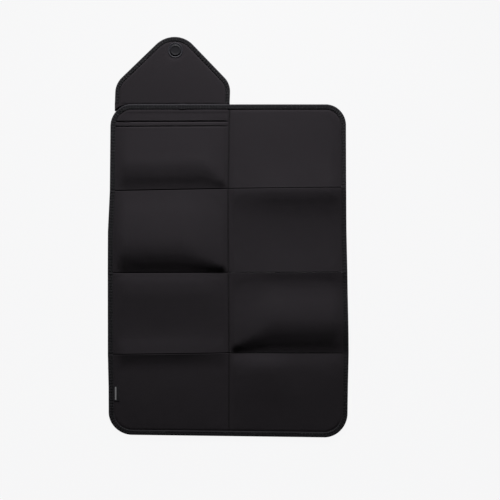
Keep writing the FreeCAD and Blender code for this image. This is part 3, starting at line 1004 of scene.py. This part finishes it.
class MAT_OT_pocket(bpy.types.Operator):
    """First left panel: lined back, pocket front, welt round its mouth and header strip"""
    bl_idname = "mat.pocket"
    bl_label = "Slit pocket"

    def execute(self, context):
        _, lines = panel_lines(LEFT, 1)
        mouth_low, mouth_high = WELT_BOX[0][1], WELT_BOX[1][1]
        back = panel_slab(LEFT, 1, top=pocket_floor)
        self.finish("pocket_back", back, lining(), "pocket_lining",
                    ["left_row1_back", "pocket_lining"])
        front_lines = np.concatenate([
            ticks(lines[0], mouth_low - FRONT_ROLL - EDGE_STEP),
            np.arange(mouth_low - FRONT_ROLL, mouth_low, EDGE_STEP)])

        def front_top(x, y):
            roll = smooth((mouth_low - y) / FRONT_ROLL)
            return face_height(x, y) - FRONT_DROP * (1 - roll)

        front = panel_slab(LEFT, 1, front_lines, front_top, pocket_underside)
        self.finish("pocket_front_panel", front, neoprene(), "neoprene", ["pocket_front"])

        def welt_top(x, y):
            middle = (mouth_low + mouth_high) / 2
            half = (mouth_high - mouth_low) / 2
            bulge = np.sqrt(np.clip(1 - ((y - middle) / half) ** 4, 0, 1))
            return face_height(x, y) - WELT_DROP + WELT_BULGE * bulge

        welt = panel_slab(LEFT, 1, np.linspace(mouth_low, mouth_high, 19), welt_top,
                          pocket_underside)
        self.finish("pocket_welt", welt, neoprene(), "neoprene", ["pocket_mouth_binding"])
        header_lines = np.concatenate([
            np.arange(HEADER_BOTTOM, HEADER_BOTTOM + HEADER_FINE, EDGE_STEP),
            ticks(HEADER_BOTTOM + HEADER_FINE, lines[-1])])

        def header_top(x, y):
            roll = np.sqrt(np.clip((y - HEADER_BOTTOM) / HEADER_ROLL, 0, 1))
            return face_height(x, y) - HEADER_DROP * (1 - roll) + HEADER_RISE

        header = panel_slab(LEFT, 1, header_lines, header_top, pocket_underside)
        self.finish("pocket_header_strip", header, neoprene(), "neoprene", ["pocket_header"])
        return {"FINISHED"}

    def finish(self, name, slab, material, slot_name, replaced):
        points, faces, crease = slab
        piece = new_object(name, points, faces, material, slot_name, crease=crease)
        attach(piece, "left_row1")
        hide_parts(*replaced)
        flatten_in_fold(piece)


# ================================================================ fold strips
def bend_at_row(piece, row):
    """Bake a piece's place into its mesh at the left column's fold below a row, without bending
    it.
    """
    line = ROW_LINES[row]
    start, end = fold_ends((MAT_LEFT, line), (0, line), shape().seam_half_width)
    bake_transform(piece)


def bend_at_centre(piece, row):
    """Bake a piece's place into its mesh at one row's centre fold, without bending it."""
    end, start = fold_ends((0, ROW_LINES[row - 1]), (0, ROW_LINES[row]),
                           shape().seam_half_width)
    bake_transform(piece)


def strip(name, lines_x, lines_y):
    """A strip of the mat between two panels."""
    x, y = np.meshgrid(lines_x, lines_y, indexing="ij")
    points, faces = slab_points(x, y, face_height(x, y), back_height(x, y))
    return new_object(name, lie(points), faces, neoprene(), "neoprene",
                      crease=np.tile(painted_seam_shade(x, y).ravel(), 2))


class MAT_OT_fold_strips(bpy.types.Operator):
    """Strips of the mat along its folds, at the centre and down the left column"""
    bl_idname = "mat.fold_strips"
    bl_label = "Fold strips"

    def execute(self, context):
        seam = shape().seam_half_width
        across = np.linspace(-seam, seam, 19)
        inner = MAT_RIGHT - BINDING_WIDTH + TUCK
        for row in ROWS[:-1]:
            bend_at_row(strip(f"left_fold_{row}_{row + 1}", ticks(-inner, -seam),
                              ROW_LINES[row] + across), row)
        for row in ROWS:
            low, high = row_span(row, BINDING_WIDTH - TUCK, SLIT)
            lines = ticks(low, high, row < ROWS[-1], row > 1)
            bend_at_centre(strip(f"centre_fold_row{row}_strip", across, lines), row)
        return {"FINISHED"}


# ================================================================ edge tape
# Section of the tape round the edge, in mm inwards from the edge and up from the floor.
TAPE_SECTION = (
    (9.9, 1.2), (9.95, 2.4), (9.6, 2.95), (8.9, 3.15), (7.6, 3.2), (6.2, 3.22), (5.0, 3.24),
    (4.0, 3.3), (3.0, 3.36), (2.1, 3.34), (1.4, 3.2), (0.8, 2.9), (0.3, 2.35), (0.05, 1.7),
    (0.12, 1.1), (0.55, 0.45), (1.3, 0.08), (2.4, 0.0), (5.0, 0.02), (8.0, 0.02), (9.8, 0.1),
)
STATION = 1.25 * MM


def straight_run(start, end, inward):
    """Stations of a straight edge."""
    start, end = np.array(start, float), np.array(end, float)
    count = max(int(round(np.hypot(*(end - start)) / STATION)), 4)
    t = np.linspace(0, 1, count + 1)[:, None]
    places = start + (end - start) * t
    return np.concatenate([places, np.tile(inward, (len(places), 1))], axis=1)


def corner_run(side, up, clockwise):
    """Stations round one corner of the mat, ends included."""
    radius = corner_radius(up)
    centre = np.array([side * (MAT_RIGHT - radius),
                       (MAT_TOP - radius) if up > 0 else (MAT_BOTTOM + radius)])
    count = int(round(radius * math.pi / 2 / STATION))
    turn = np.linspace(0, math.pi / 2, count + 1)
    if not clockwise:
        turn = turn[::-1]
    if side * up < 0:
        out = np.stack([side * np.cos(turn), up * np.sin(turn)], axis=1)
    else:
        out = np.stack([side * np.sin(turn), up * np.cos(turn)], axis=1)
    return np.concatenate([centre + out * radius, -out], axis=1)


def tape_run(side, row):
    """Stations of one panel's outer edge, clockwise seen from the face."""
    seam = shape().seam_half_width
    radius = corner_radius(1 if row == 1 else -1)
    gap = seam if side == LEFT else SLIT
    edge_x = side * MAT_RIGHT
    high = ROW_LINES[row - 1] - gap
    low = ROW_LINES[row] + gap
    inward = (-side, 0)
    if row not in (1, ROWS[-1]):
        ends = ((edge_x, low), (edge_x, high))
        return straight_run(*(ends if side == LEFT else ends[::-1]), inward)
    if row == 1:
        up, across_y = 1, MAT_TOP
        upright = ((edge_x, low), (edge_x, MAT_TOP - radius))
    else:
        up, across_y = -1, MAT_BOTTOM
        upright = ((edge_x, high), (edge_x, MAT_BOTTOM + radius))
    level = ((side * (MAT_RIGHT - radius), across_y), (side * seam, across_y))
    runs = [straight_run(*upright, inward), corner_run(side, up, side * up < 0),
            straight_run(*level, (0, -up))]
    whole = np.concatenate([runs[0], runs[1][1:], runs[2][1:]])
    return whole if side * up < 0 else whole[::-1]


def tape_piece(name, run, section=TAPE_SECTION):
    points, faces, uvs = swept(run, section, arch)
    piece = new_object(name, lie(points), faces, tape("edge_tape"), "binding_tape", uvs)
    return piece


class MAT_OT_edge_tape(bpy.types.Operator):
    """Rolled tape round the mat's edge, one length on each panel and short lengths across the
    folds between them
    """
    bl_idname = "mat.edge_tape"
    bl_label = "Edge tape"

    def execute(self, context):
        seam = shape().seam_half_width
        for side in (LEFT, RIGHT):
            for row in ROWS:
                name = body_name(side, row)
                piece = tape_piece(f"{name}_tape", tape_run(side, row))
                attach(piece, name)
                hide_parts(f"{name}_binding")
                if side == RIGHT:
                    flatten_in_fold(piece)
        for row in ROWS[:-1]:
            line = ROW_LINES[row]
            run = straight_run((MAT_LEFT, line - seam), (MAT_LEFT, line + seam), (1, 0))
            piece = tape_piece(f"left_tape_fold_{row}_{row + 1}", run)
            bend_at_row(piece, row)
        for row, y, inward in ((1, MAT_TOP, -1), (4, MAT_BOTTOM, 1)):
            run = straight_run((-seam, y), (seam, y), (0, inward))
            piece = tape_piece(f"centre_tape_fold_row{row}", run)
            bend_at_centre(piece, row)
        return {"FINISHED"}


class MAT_OT_tape_join(bpy.types.Operator):
    """Folded end of the edge tape, lapped over its beginning on the top edge"""
    bl_idname = "mat.tape_join"
    bl_label = "Tape join"

    def execute(self, context):
        lap = 0.5
        section = [(n - lap * 0.8 if n < 2 else n + lap * 0.4, z + lap if z > 1.8 else z)
                   for n, z in TAPE_SECTION]
        run = straight_run((JOIN_BOX[0][0], MAT_TOP), (JOIN_BOX[1][0], MAT_TOP), (0, -1))
        piece = tape_piece("tape_join", run, section)
        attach(piece, "left_row1")
        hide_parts("binding_join")
        return {"FINISHED"}


# ================================================================ stitches
def stitch_tree():
    """Geometry Nodes that lay lozenge stitches along a guide line, swung to and fro."""
    tree, start, end = new_group(
        "stitch_row",
        [("Geometry", "Geometry", None), ("Pitch", "Float", 3.5 * MM),
         ("Length", "Float", 2.8 * MM), ("Radius", "Float", 0.25 * MM), ("Swing", "Float", 0.0),
         ("Material", "Material", None)],
        [("Geometry", "Geometry")], "GeometryNodeTree")
    line = add(tree, "GeometryNodeMeshToCurve", Mesh=start["Geometry"])
    spots = add(tree, "GeometryNodeCurveToPoints", mode="LENGTH", Curve=line.outputs[0],
                Length=start["Pitch"])
    ball = add(tree, "GeometryNodeMeshUVSphere", Segments=7, Rings=5, Radius=1.0)
    half = maths(tree, "MULTIPLY", start["Length"], 0.5)
    size = add(tree, "ShaderNodeCombineXYZ", X=half, Y=start["Radius"], Z=start["Radius"])
    aim = add(tree, "FunctionNodeAlignRotationToVector", axis="X",
              Vector=spots.outputs["Tangent"])
    odd = maths(tree, "MODULO", add(tree, "GeometryNodeInputIndex").outputs[0], 2.0)
    sign = maths(tree, "SUBTRACT", 1.0, maths(tree, "MULTIPLY", odd, 2.0))
    twist = add(tree, "FunctionNodeAxisAngleToRotation", Axis=(0, 0, 1),
                Angle=maths(tree, "MULTIPLY", sign, start["Swing"]))
    turn = add(tree, "FunctionNodeRotateRotation", rotation_space="LOCAL",
               Rotation=aim.outputs[0], Rotate_By=twist.outputs[0])
    place = add(tree, "GeometryNodeInstanceOnPoints", Points=spots.outputs["Points"],
                Instance=ball.outputs[0], Rotation=turn.outputs[0], Scale=size.outputs[0])
    solid = add(tree, "GeometryNodeRealizeInstances", Geometry=place.outputs[0])
    paint = add(tree, "GeometryNodeSetMaterial", Geometry=solid.outputs[0],
                Material=start["Material"])
    plug(tree, paint.outputs[0], end[0])
    return tree


def stitches(name, guides, pitch, length, swing=0.0, edge=False):
    """One mesh of stitches along guide lines, each an array of points."""
    thread = (sewing_thread("edge_thread", colours().edge_thread) if edge
              else sewing_thread("seam_thread", colours().thread))
    mesh = bpy.data.meshes.new(name)
    points, edges = [], []
    for guide in guides:
        first = len(points)
        points += [tuple(p) for p in guide]
        edges += [(first + k, first + k + 1) for k in range(len(guide) - 1)]
    mesh.from_pydata(points, edges, [])
    guide_object = placed(name + "_guide", mesh)
    tree = bpy.data.node_groups.get("stitch_row") or stitch_tree()
    modifier = guide_object.modifiers.new("stitches", "NODES")
    modifier.node_group = tree
    values = {"Pitch": pitch, "Length": length, "Swing": swing, "Material": thread,
              "Radius": shape().thread_radius}
    for item in tree.interface.items_tree:
        if item.in_out == "INPUT" and item.name in values:
            modifier[item.identifier] = values[item.name]
    sewn = bpy.data.meshes.new_from_object(
        guide_object.evaluated_get(bpy.context.evaluated_depsgraph_get()))
    sewn.name = name
    bpy.data.objects.remove(guide_object)
    bpy.data.meshes.remove(mesh)
    if not sewn.materials:
        sewn.materials.append(thread)
    sewn.shade_smooth()
    piece = placed(name, sewn)
    return piece


def seam(name, *guides):
    """Straight stitching along guide lines."""
    return stitches(name, guides, shape().stitch_pitch, shape().stitch_length)


def zigzag(name, guide, scale=1.0):
    """Zigzag stitching down a tape's middle."""
    step, reach = shape().zigzag_pitch / 2, ZIGZAG_REACH * scale
    return stitches(name, [guide], step, math.hypot(reach, step), math.atan2(reach, step),
                    edge=True)


def on_face(x, y, lift=0.1 * MM):
    """Guide points that lie on the mat's face."""
    x, y = np.broadcast_arrays(np.asarray(x, float), np.asarray(y, float))
    return lie(np.stack([x, y, face_height(x, y) + lift], axis=1))


ZIGZAG_MIDDLE = 7.0 * MM     # middle of the zigzag, inwards from the edge
ZIGZAG_REACH = 4.4 * MM      # its full width
ZIGZAG_HEIGHT = 3.28 * MM    # its height over the underside of the tape
HEM = 5.6 * MM               # half fold to the second row of stitching below it
RIGHT_SEAM = 1.1 * MM        # open crease to the stitching above it on the right
POCKET_SEAM = 5.6 * MM       # centre fold to the pocket's side seam
SEAM_END = 2 * MM            # how far a seam stops short of the next one
WELT_SEAM, HEADER_SEAM = 1.6 * MM, 2.4 * MM      # lower edge of welt and header to the seam


def tape_guide(run, base, scale=1.0):
    """Guide points down the middle of a tape that lies on a base."""
    inwards = ZIGZAG_MIDDLE * scale
    x, y = run[:, 0] + run[:, 2] * inwards, run[:, 1] + run[:, 3] * inwards
    return np.stack([x, y, base(run[:, 0], run[:, 1]) + ZIGZAG_HEIGHT], axis=1)


class MAT_OT_stitches(bpy.types.Operator):
    """Zigzag on the edge tape and straight stitching down every fold line"""
    bl_idname = "mat.stitches"
    bl_label = "Stitching"

    def execute(self, context):
        for side in (LEFT, RIGHT):
            for row in ROWS:
                name = body_name(side, row)
                piece = zigzag(f"{name}_zigzag", lie(tape_guide(tape_run(side, row), arch)))
                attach(piece, name)
                if side == RIGHT:
                    flatten_in_fold(piece)
        self.fold_lines()
        self.pocket_seams()
        return {"FINISHED"}

    def fold_lines(self):
        start = shape().seam_half_width
        inner = MAT_RIGHT - BINDING_WIDTH
        for row in ROWS[:-1]:
            line = ROW_LINES[row]
            guide = on_face(np.linspace(-inner, -start, 90), line)
            piece = seam(f"left_fold_stitch_{row}_{row + 1}", guide)
            bend_at_row(piece, row)
            guide = on_face(np.linspace(start, inner, 90), line + RIGHT_SEAM)
            piece = seam(f"right_fold_stitch_{row}_{row + 1}", guide)
            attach(piece, body_name(RIGHT, row))
            flatten_in_fold(piece)
        hem = on_face(np.linspace(-inner, -2 * start, 90), ROW_LINES[2] - HEM)
        piece = seam("half_fold_hem_stitch", hem)
        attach(piece, "left_row3")
        flatten_in_fold(piece)
        for row in ROWS:
            low, high = row_span(row, BINDING_WIDTH, SEAM_END)
            guide = on_face(0.0, np.linspace(low, high, 70))
            piece = seam(f"centre_fold_stitch_row{row}", guide)
            bend_at_centre(piece, row)

    def pocket_seams(self):
        """Side seam of the pocket beside the centre fold, and the seam under its welt."""
        low, high = ROW_LINES[1] + 6 * MM, MAT_TOP - BINDING_WIDTH - SEAM_END
        side = on_face(-POCKET_SEAM, np.linspace(low, high, 70), 0.18 * MM)
        welt_y = WELT_BOX[0][1] + WELT_SEAM
        across = np.linspace(MAT_LEFT + BINDING_WIDTH + SEAM_END, -7 * MM, 90)
        welt = on_face(across, welt_y, 0.42 * MM)
        head = on_face(across, HEADER_BOTTOM + HEADER_SEAM, 0.38 * MM)
        piece = seam("pocket_seam_stitch", side, welt, head)
        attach(piece, "left_row1")
        flatten_in_fold(piece)


# ================================================================ flap
FLAP_SLOPE = math.radians(45)
FLAP_SHOULDER_RADIUS = 40 * MM
FLAP_TIP_RADIUS = 49.5 * MM
FLAP_TAPE_SHARE = 0.88       # the flap's tape is this much narrower than the mat's
FLAP_ROOT = MAT_TOP + 2.5 * MM
FLAP_ROOT_LOW = MAT_TOP - 13 * MM
FLAP_INSET = 4 * MM          # how far the flap's padding stops short of its edge
FLAP_CREST, FLAP_TIP_LIFT = 0.9, 0.1     # mm off the floor, along its middle and at its tip
FLAP_LEAN = (-1.0, 4.6)      # mm to the right at its root, and more at its tip
FLAP_CROWN = 0.5 * MM
FLAP_RIM, CROWN_RISE = 6 * MM, 8 * MM    # edge to the foot of its crown, and the crown's rise
SEAT_RUN = 10 * MM           # from the snap's seat to the full crown
SNAP_SEAT = 14 * MM          # flat cloth round the snap's middle


def flap_corners(inset=0.0):
    """The flap's outline as (x, y, radius): shoulder, tip, shoulder."""
    half = (FLAP_RIGHT - FLAP_LEFT) / 2 - inset
    peak = FLAP_TIP + FLAP_TIP_RADIUS * (1 / math.cos(FLAP_SLOPE) - 1)
    peak -= inset / math.cos(FLAP_SLOPE)
    shoulder = peak - half * math.tan(FLAP_SLOPE)
    return ((FLAP_X - half, shoulder, FLAP_SHOULDER_RADIUS - inset),
            (FLAP_X, peak, FLAP_TIP_RADIUS - inset),
            (FLAP_X + half, shoulder, FLAP_SHOULDER_RADIUS - inset))


def flap_run():
    """Stations of the flap's edge, clockwise from the left end of its root."""
    left, tip, right = flap_corners()
    route = [(left[0], FLAP_ROOT, 0), left, tip, right, (right[0], FLAP_ROOT, 0)]
    stations = []
    end = np.array(route[0][:2])
    for before, here, after in zip(route, route[1:], route[2:]):
        spot = np.array(here[:2])
        back = np.array(before[:2]) - spot
        ahead = np.array(after[:2]) - spot
        back, ahead = back / np.hypot(*back), ahead / np.hypot(*ahead)
        half_angle = math.acos(np.clip(back @ ahead, -1, 1)) / 2
        tangent = here[2] / math.tan(half_angle)
        first, last = spot + back * tangent, spot + ahead * tangent
        stations.append(straight_run(end, first, (-back[1], back[0])))
        bisector = (back + ahead) / np.hypot(*(back + ahead))
        centre = spot + bisector * here[2] / math.sin(half_angle)
        count = int(round(here[2] * (math.pi - 2 * half_angle) / STATION))
        a0 = math.atan2(*(first - centre)[::-1])
        a1 = math.atan2(*(last - centre)[::-1])
        turn = np.linspace(a0, a1, count + 1)
        out = np.stack([np.cos(turn), np.sin(turn)], axis=1)
        stations.append(np.concatenate([centre + out * here[2], -out], axis=1))
        end = last
    stations.append(straight_run(end, np.array(route[-1][:2]), (-1, 0)))
    whole = [stations[0]] + [part[1:] for part in stations[1:]]
    return np.concatenate(whole)


def flap_top_edge(x, inset):
    """Upper outline of the flap over each x."""
    run = flap_run()
    edge = run[:, :2] + run[:, 2:] * inset
    low, high = edge[:, 0].min(), edge[:, 0].max()
    inner = edge[(edge[:, 0] > low + 1e-6) & (edge[:, 0] < high - 1e-6)]
    inner = inner[np.argsort(inner[:, 0])]
    xs = np.concatenate([[low], inner[:, 0], [high]])
    ys = np.concatenate([[inner[0, 1]], inner[:, 1], [inner[0, 1]]])
    return np.interp(x, xs, ys)


def flap_arch(x, y):
    """Height of the flap's underside over the floor: a low arch, its tip just lifted."""
    along = np.clip((y - FLAP_ROOT) / (FLAP_TIP - FLAP_ROOT), 0, 1)
    across = np.clip(1 - ((x - FLAP_X) / (FLAP_RIGHT - FLAP_X)) ** 2, 0, 1)
    return MM * (FLAP_CREST * np.sin(math.pi * along) * across + FLAP_TIP_LIFT * along)


def flap_face(x, y):
    run = flap_run()
    edge = np.min(np.hypot(np.asarray(x)[..., None] - run[::4, 0],
                           np.asarray(y)[..., None] - run[::4, 1]), axis=-1)
    rim = np.maximum(edge - FLAP_RIM, 0)
    seat = np.hypot(x - SNAP_PLACE[0], y - SNAP_PLACE[1])
    crown = FLAP_CROWN * (1 - np.exp(-rim / CROWN_RISE))
    crown = crown * smooth((seat - SNAP_SEAT) / SEAT_RUN)
    tucked = 1 - smooth((edge - BINDING_WIDTH * FLAP_TAPE_SHARE + TUCK_LAP) / TUCK_RUN)
    tucked = tucked * smooth((seat - SNAP_SEAT - 0.5 * MM) / TUCK_RUN)
    return flap_arch(x, y) + shape().skin_height + crown - TUCK_DEPTH * tucked


def flap_lie(points):
    """The flap leans a touch to the right towards its tip."""
    points = np.array(points, float)
    along = np.clip((points[:, 1] - MAT_TOP) / (FLAP_TIP - MAT_TOP), 0, 1)
    points[:, 0] += MM * (FLAP_LEAN[0] + FLAP_LEAN[1] * along)
    return points


class MAT_OT_flap(bpy.types.Operator):
    """Pointed closing flap with its bound edge, and its root behind the mat's top edge"""
    bl_idname = "mat.flap"
    bl_label = "Closing flap"

    def execute(self, context):
        self.pad()
        self.edge()
        self.root()
        return {"FINISHED"}

    def pad(self):
        columns = np.linspace(FLAP_LEFT + FLAP_INSET, FLAP_RIGHT - FLAP_INSET, 92)
        rows = np.linspace(0, 1, 56)
        x = np.repeat(columns[:, None], len(rows), axis=1)
        top_edge = flap_top_edge(columns, FLAP_INSET)
        y = FLAP_ROOT + (top_edge - FLAP_ROOT)[:, None] * rows
        points, faces = slab_points(x, y, flap_face(x, y), flap_arch(x, y))
        piece = new_object("flap_pad", flap_lie(points), faces, neoprene(), "neoprene")
        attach(piece, "flap")
        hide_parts("flap_face", "flap_back", "flap_stiffener")

    def edge(self):
        run = flap_run()
        points, faces, uvs = swept(run, TAPE_SECTION, flap_arch, FLAP_TAPE_SHARE)
        piece = new_object("flap_tape", flap_lie(points), faces, tape("edge_tape"),
                           "binding_tape", uvs)
        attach(piece, "flap")
        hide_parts("flap_binding")
        guide = flap_lie(tape_guide(run, flap_arch, FLAP_TAPE_SHARE))
        sewn = zigzag("flap_zigzag", guide, FLAP_TAPE_SHARE)
        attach(sewn, "flap")

    def root(self):
        x, y = np.meshgrid(np.linspace(FLAP_LEFT, FLAP_RIGHT, 150),
                           np.linspace(FLAP_ROOT_LOW, FLAP_ROOT, 40), indexing="ij")
        out = smooth((-outline_distance(x, y) + 0.1 * MM) / (0.6 * MM))
        side = np.minimum(x - FLAP_LEFT, FLAP_RIGHT - x)
        roll = np.sqrt(np.clip(side / (2 * MM), 0, 1))
        top = (0.65 + (2.4 * out * (0.5 + 0.5 * roll))) * MM
        points, faces = slab_points(x, y, top, np.full_like(top, 0.02 * MM))
        piece = new_object("flap_root", flap_lie(points), faces, neoprene(), "neoprene")
        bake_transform(piece)
        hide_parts("flap_root_seam")


# ================================================================ snap
SNAP_RING = (
    (10.2, -0.2), (14.4, -0.2), (14.5, 0.25), (14.25, 0.65), (13.7, 0.86), (13.1, 0.8),
    (12.6, 0.5), (12.2, 0.3), (11.2, 0.26), (10.2, 0.26),
)
SNAP_CAP = (
    (0, -0.4), (11.2, -0.4), (11.1, 0.3), (10.8, 0.6), (10.4, 0.95), (10.0, 1.2), (9.4, 1.42),
    (8.7, 1.5), (8.1, 1.44), (7.6, 1.28), (7.1, 1.12), (6.0, 1.05), (3.2, 1.03), (0, 1.03),
)
SNAP_CORE = ((0, -1.4), (8.6, -1.4), (8.6, 0.8), (0, 0.8))     # magnet on its steel base
WELL_RING = (
    (10.4, -0.05), (10.6, -0.32), (11.4, -0.42), (13.2, -0.42), (13.8, -0.3), (14.0, -0.02),
    (14.0, 0.5), (10.4, 0.5),
)
WELL_PLATE = (
    (0, -0.28), (0.8, -0.28), (1.3, -0.2), (1.6, 0.05), (1.65, 0.8), (2.4, 0.85), (10.4, 0.85),
    (10.4, 1.3), (0, 1.3),
)


def on_cloth(planned, lying, height):
    """Where a planned place is as the cloth lies, at a height that the cloth has there."""
    place = lying(np.array([planned], float))[0]
    place[2] = float(height(np.array([planned[0]]), np.array([planned[1]]))[0])
    return place


class MAT_OT_snap(bpy.types.Operator):
    """Lacquered magnetic snap near the flap's tip: raised ring and dished housing"""
    bl_idname = "mat.snap"
    bl_label = "Snap on the flap"

    def execute(self, context):
        place = on_cloth(SNAP_PLACE, flap_lie, flap_face)
        for name, section, node, finish in (
                # the ring is the cap's lacquer made 2.3 times lighter, a painted highlight on its
                # lip
                ("snap_ring", SNAP_RING, "snap_flange", lacquer("ring_lacquer", 2.3)),
                ("snap_cap", SNAP_CAP, "snap_housing", lacquer("snap_lacquer", 1.0))):
            points, faces = lathe(place, section)
            piece = new_object(name, points, faces, finish, "snap_plastic")
            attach(piece, "flap")
            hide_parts(node)
        core = new_object("snap_core", *lathe(place, SNAP_CORE), steel("snap_steel"), "snap_metal")
        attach(core, "flap")
        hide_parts("snap_magnet", "snap_base", "snap_washer")
        return {"FINISHED"}


class MAT_OT_snap_socket(bpy.types.Operator):
    """The mat's half of the snap, behind the second left panel"""
    bl_idname = "mat.snap_socket"
    bl_label = "Snap behind the mat"

    def execute(self, context):
        place = on_cloth(WELL_PLACE, lie, back_height)
        ring = new_object("socket_rim", *lathe(place, WELL_RING), lacquer("snap_lacquer", 1.0),
                          "snap_plastic")
        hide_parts("socket_ring")
        plate = new_object("socket_stud_plate", *lathe(place, WELL_PLATE), steel("snap_steel"),
                           "snap_metal")
        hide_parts("socket_plate", "socket_washer")
        for piece in (ring, plate):
            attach(piece, "left_row2")
            flatten_in_fold(piece)
        return {"FINISHED"}


# ================================================================ label
LABEL_SHIFT = (2.4 * MM, 1.4 * MM)   # it is sewn a little further in and up than planned
LABEL_THICKNESS, LABEL_CURL = 0.42 * MM, 0.25 * MM
OVER_TAPE = 3.45 * MM        # underside of the tape to the label that lies over it


class MAT_OT_label(bpy.types.Operator):
    """Small folded woven label, blank but for one pale band, at the left edge"""
    bl_idname = "mat.label"
    bl_label = "Side label"

    def execute(self, context):
        low, high = LABEL_BOX
        x, y = np.meshgrid(np.linspace(low[0], high[0], 13), np.linspace(low[1], high[1], 31),
                           indexing="ij")
        u, v = (x - low[0]) / (high[0] - low[0]), (y - low[1]) / (high[1] - low[1])
        x, y = x + LABEL_SHIFT[0], y + LABEL_SHIFT[1]
        base = face_height(x, y)
        tape_top = arch(np.full_like(x, MAT_LEFT), y) + OVER_TAPE
        under = np.where(x < MAT_LEFT + BINDING_WIDTH, np.maximum(base, tape_top), base)
        curl = LABEL_CURL * u**3
        bottom = under + 0.03 * MM + curl
        points, faces = slab_points(x, y, bottom + LABEL_THICKNESS, bottom)
        flat = np.stack([u.ravel(), v.ravel()], axis=1)
        piece = new_object("woven_label", lie(points), faces, label_weave("label_weave"),
                           "label_tape", np.concatenate([flat, flat]))
        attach(piece, "left_row4")
        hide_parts("side_label")
        flatten_in_fold(piece)
        return {"FINISHED"}


# ================================================================ add-on
OPERATORS = (
    MAT_OT_stage, MAT_OT_padding, MAT_OT_panels, MAT_OT_pocket, MAT_OT_fold_strips,
    MAT_OT_edge_tape, MAT_OT_tape_join, MAT_OT_stitches, MAT_OT_flap, MAT_OT_snap,
    MAT_OT_snap_socket, MAT_OT_label,
)


class MAT_PT_panel(bpy.types.Panel):
    """Lists the mat's pieces in the order that they are made"""
    bl_label = "Changing mat"
    bl_space_type = "VIEW_3D"
    bl_region_type = "UI"
    bl_category = "Mat"

    def draw(self, context):
        for group in (context.scene.mat_shape, context.scene.mat_colours):
            for key in group.bl_rna.properties.keys()[2:]:
                self.layout.prop(group, key)
        for operator in OPERATORS:
            self.layout.operator(operator.bl_idname)


CLASSES = (MatShape, MatColours, *OPERATORS, MAT_PT_panel)


def register():
    for item in CLASSES:
        bpy.utils.register_class(item)
    bpy.types.Scene.mat_shape = PointerProperty(type=MatShape)
    bpy.types.Scene.mat_colours = PointerProperty(type=MatColours)


def unregister():
    del bpy.types.Scene.mat_shape, bpy.types.Scene.mat_colours
    for item in reversed(CLASSES):
        bpy.utils.unregister_class(item)


def main():
    register()
    for operator in OPERATORS:
        group, name = operator.bl_idname.split(".")
        getattr(getattr(bpy.ops, group), name)()


if __name__ == "__main__":
    main()
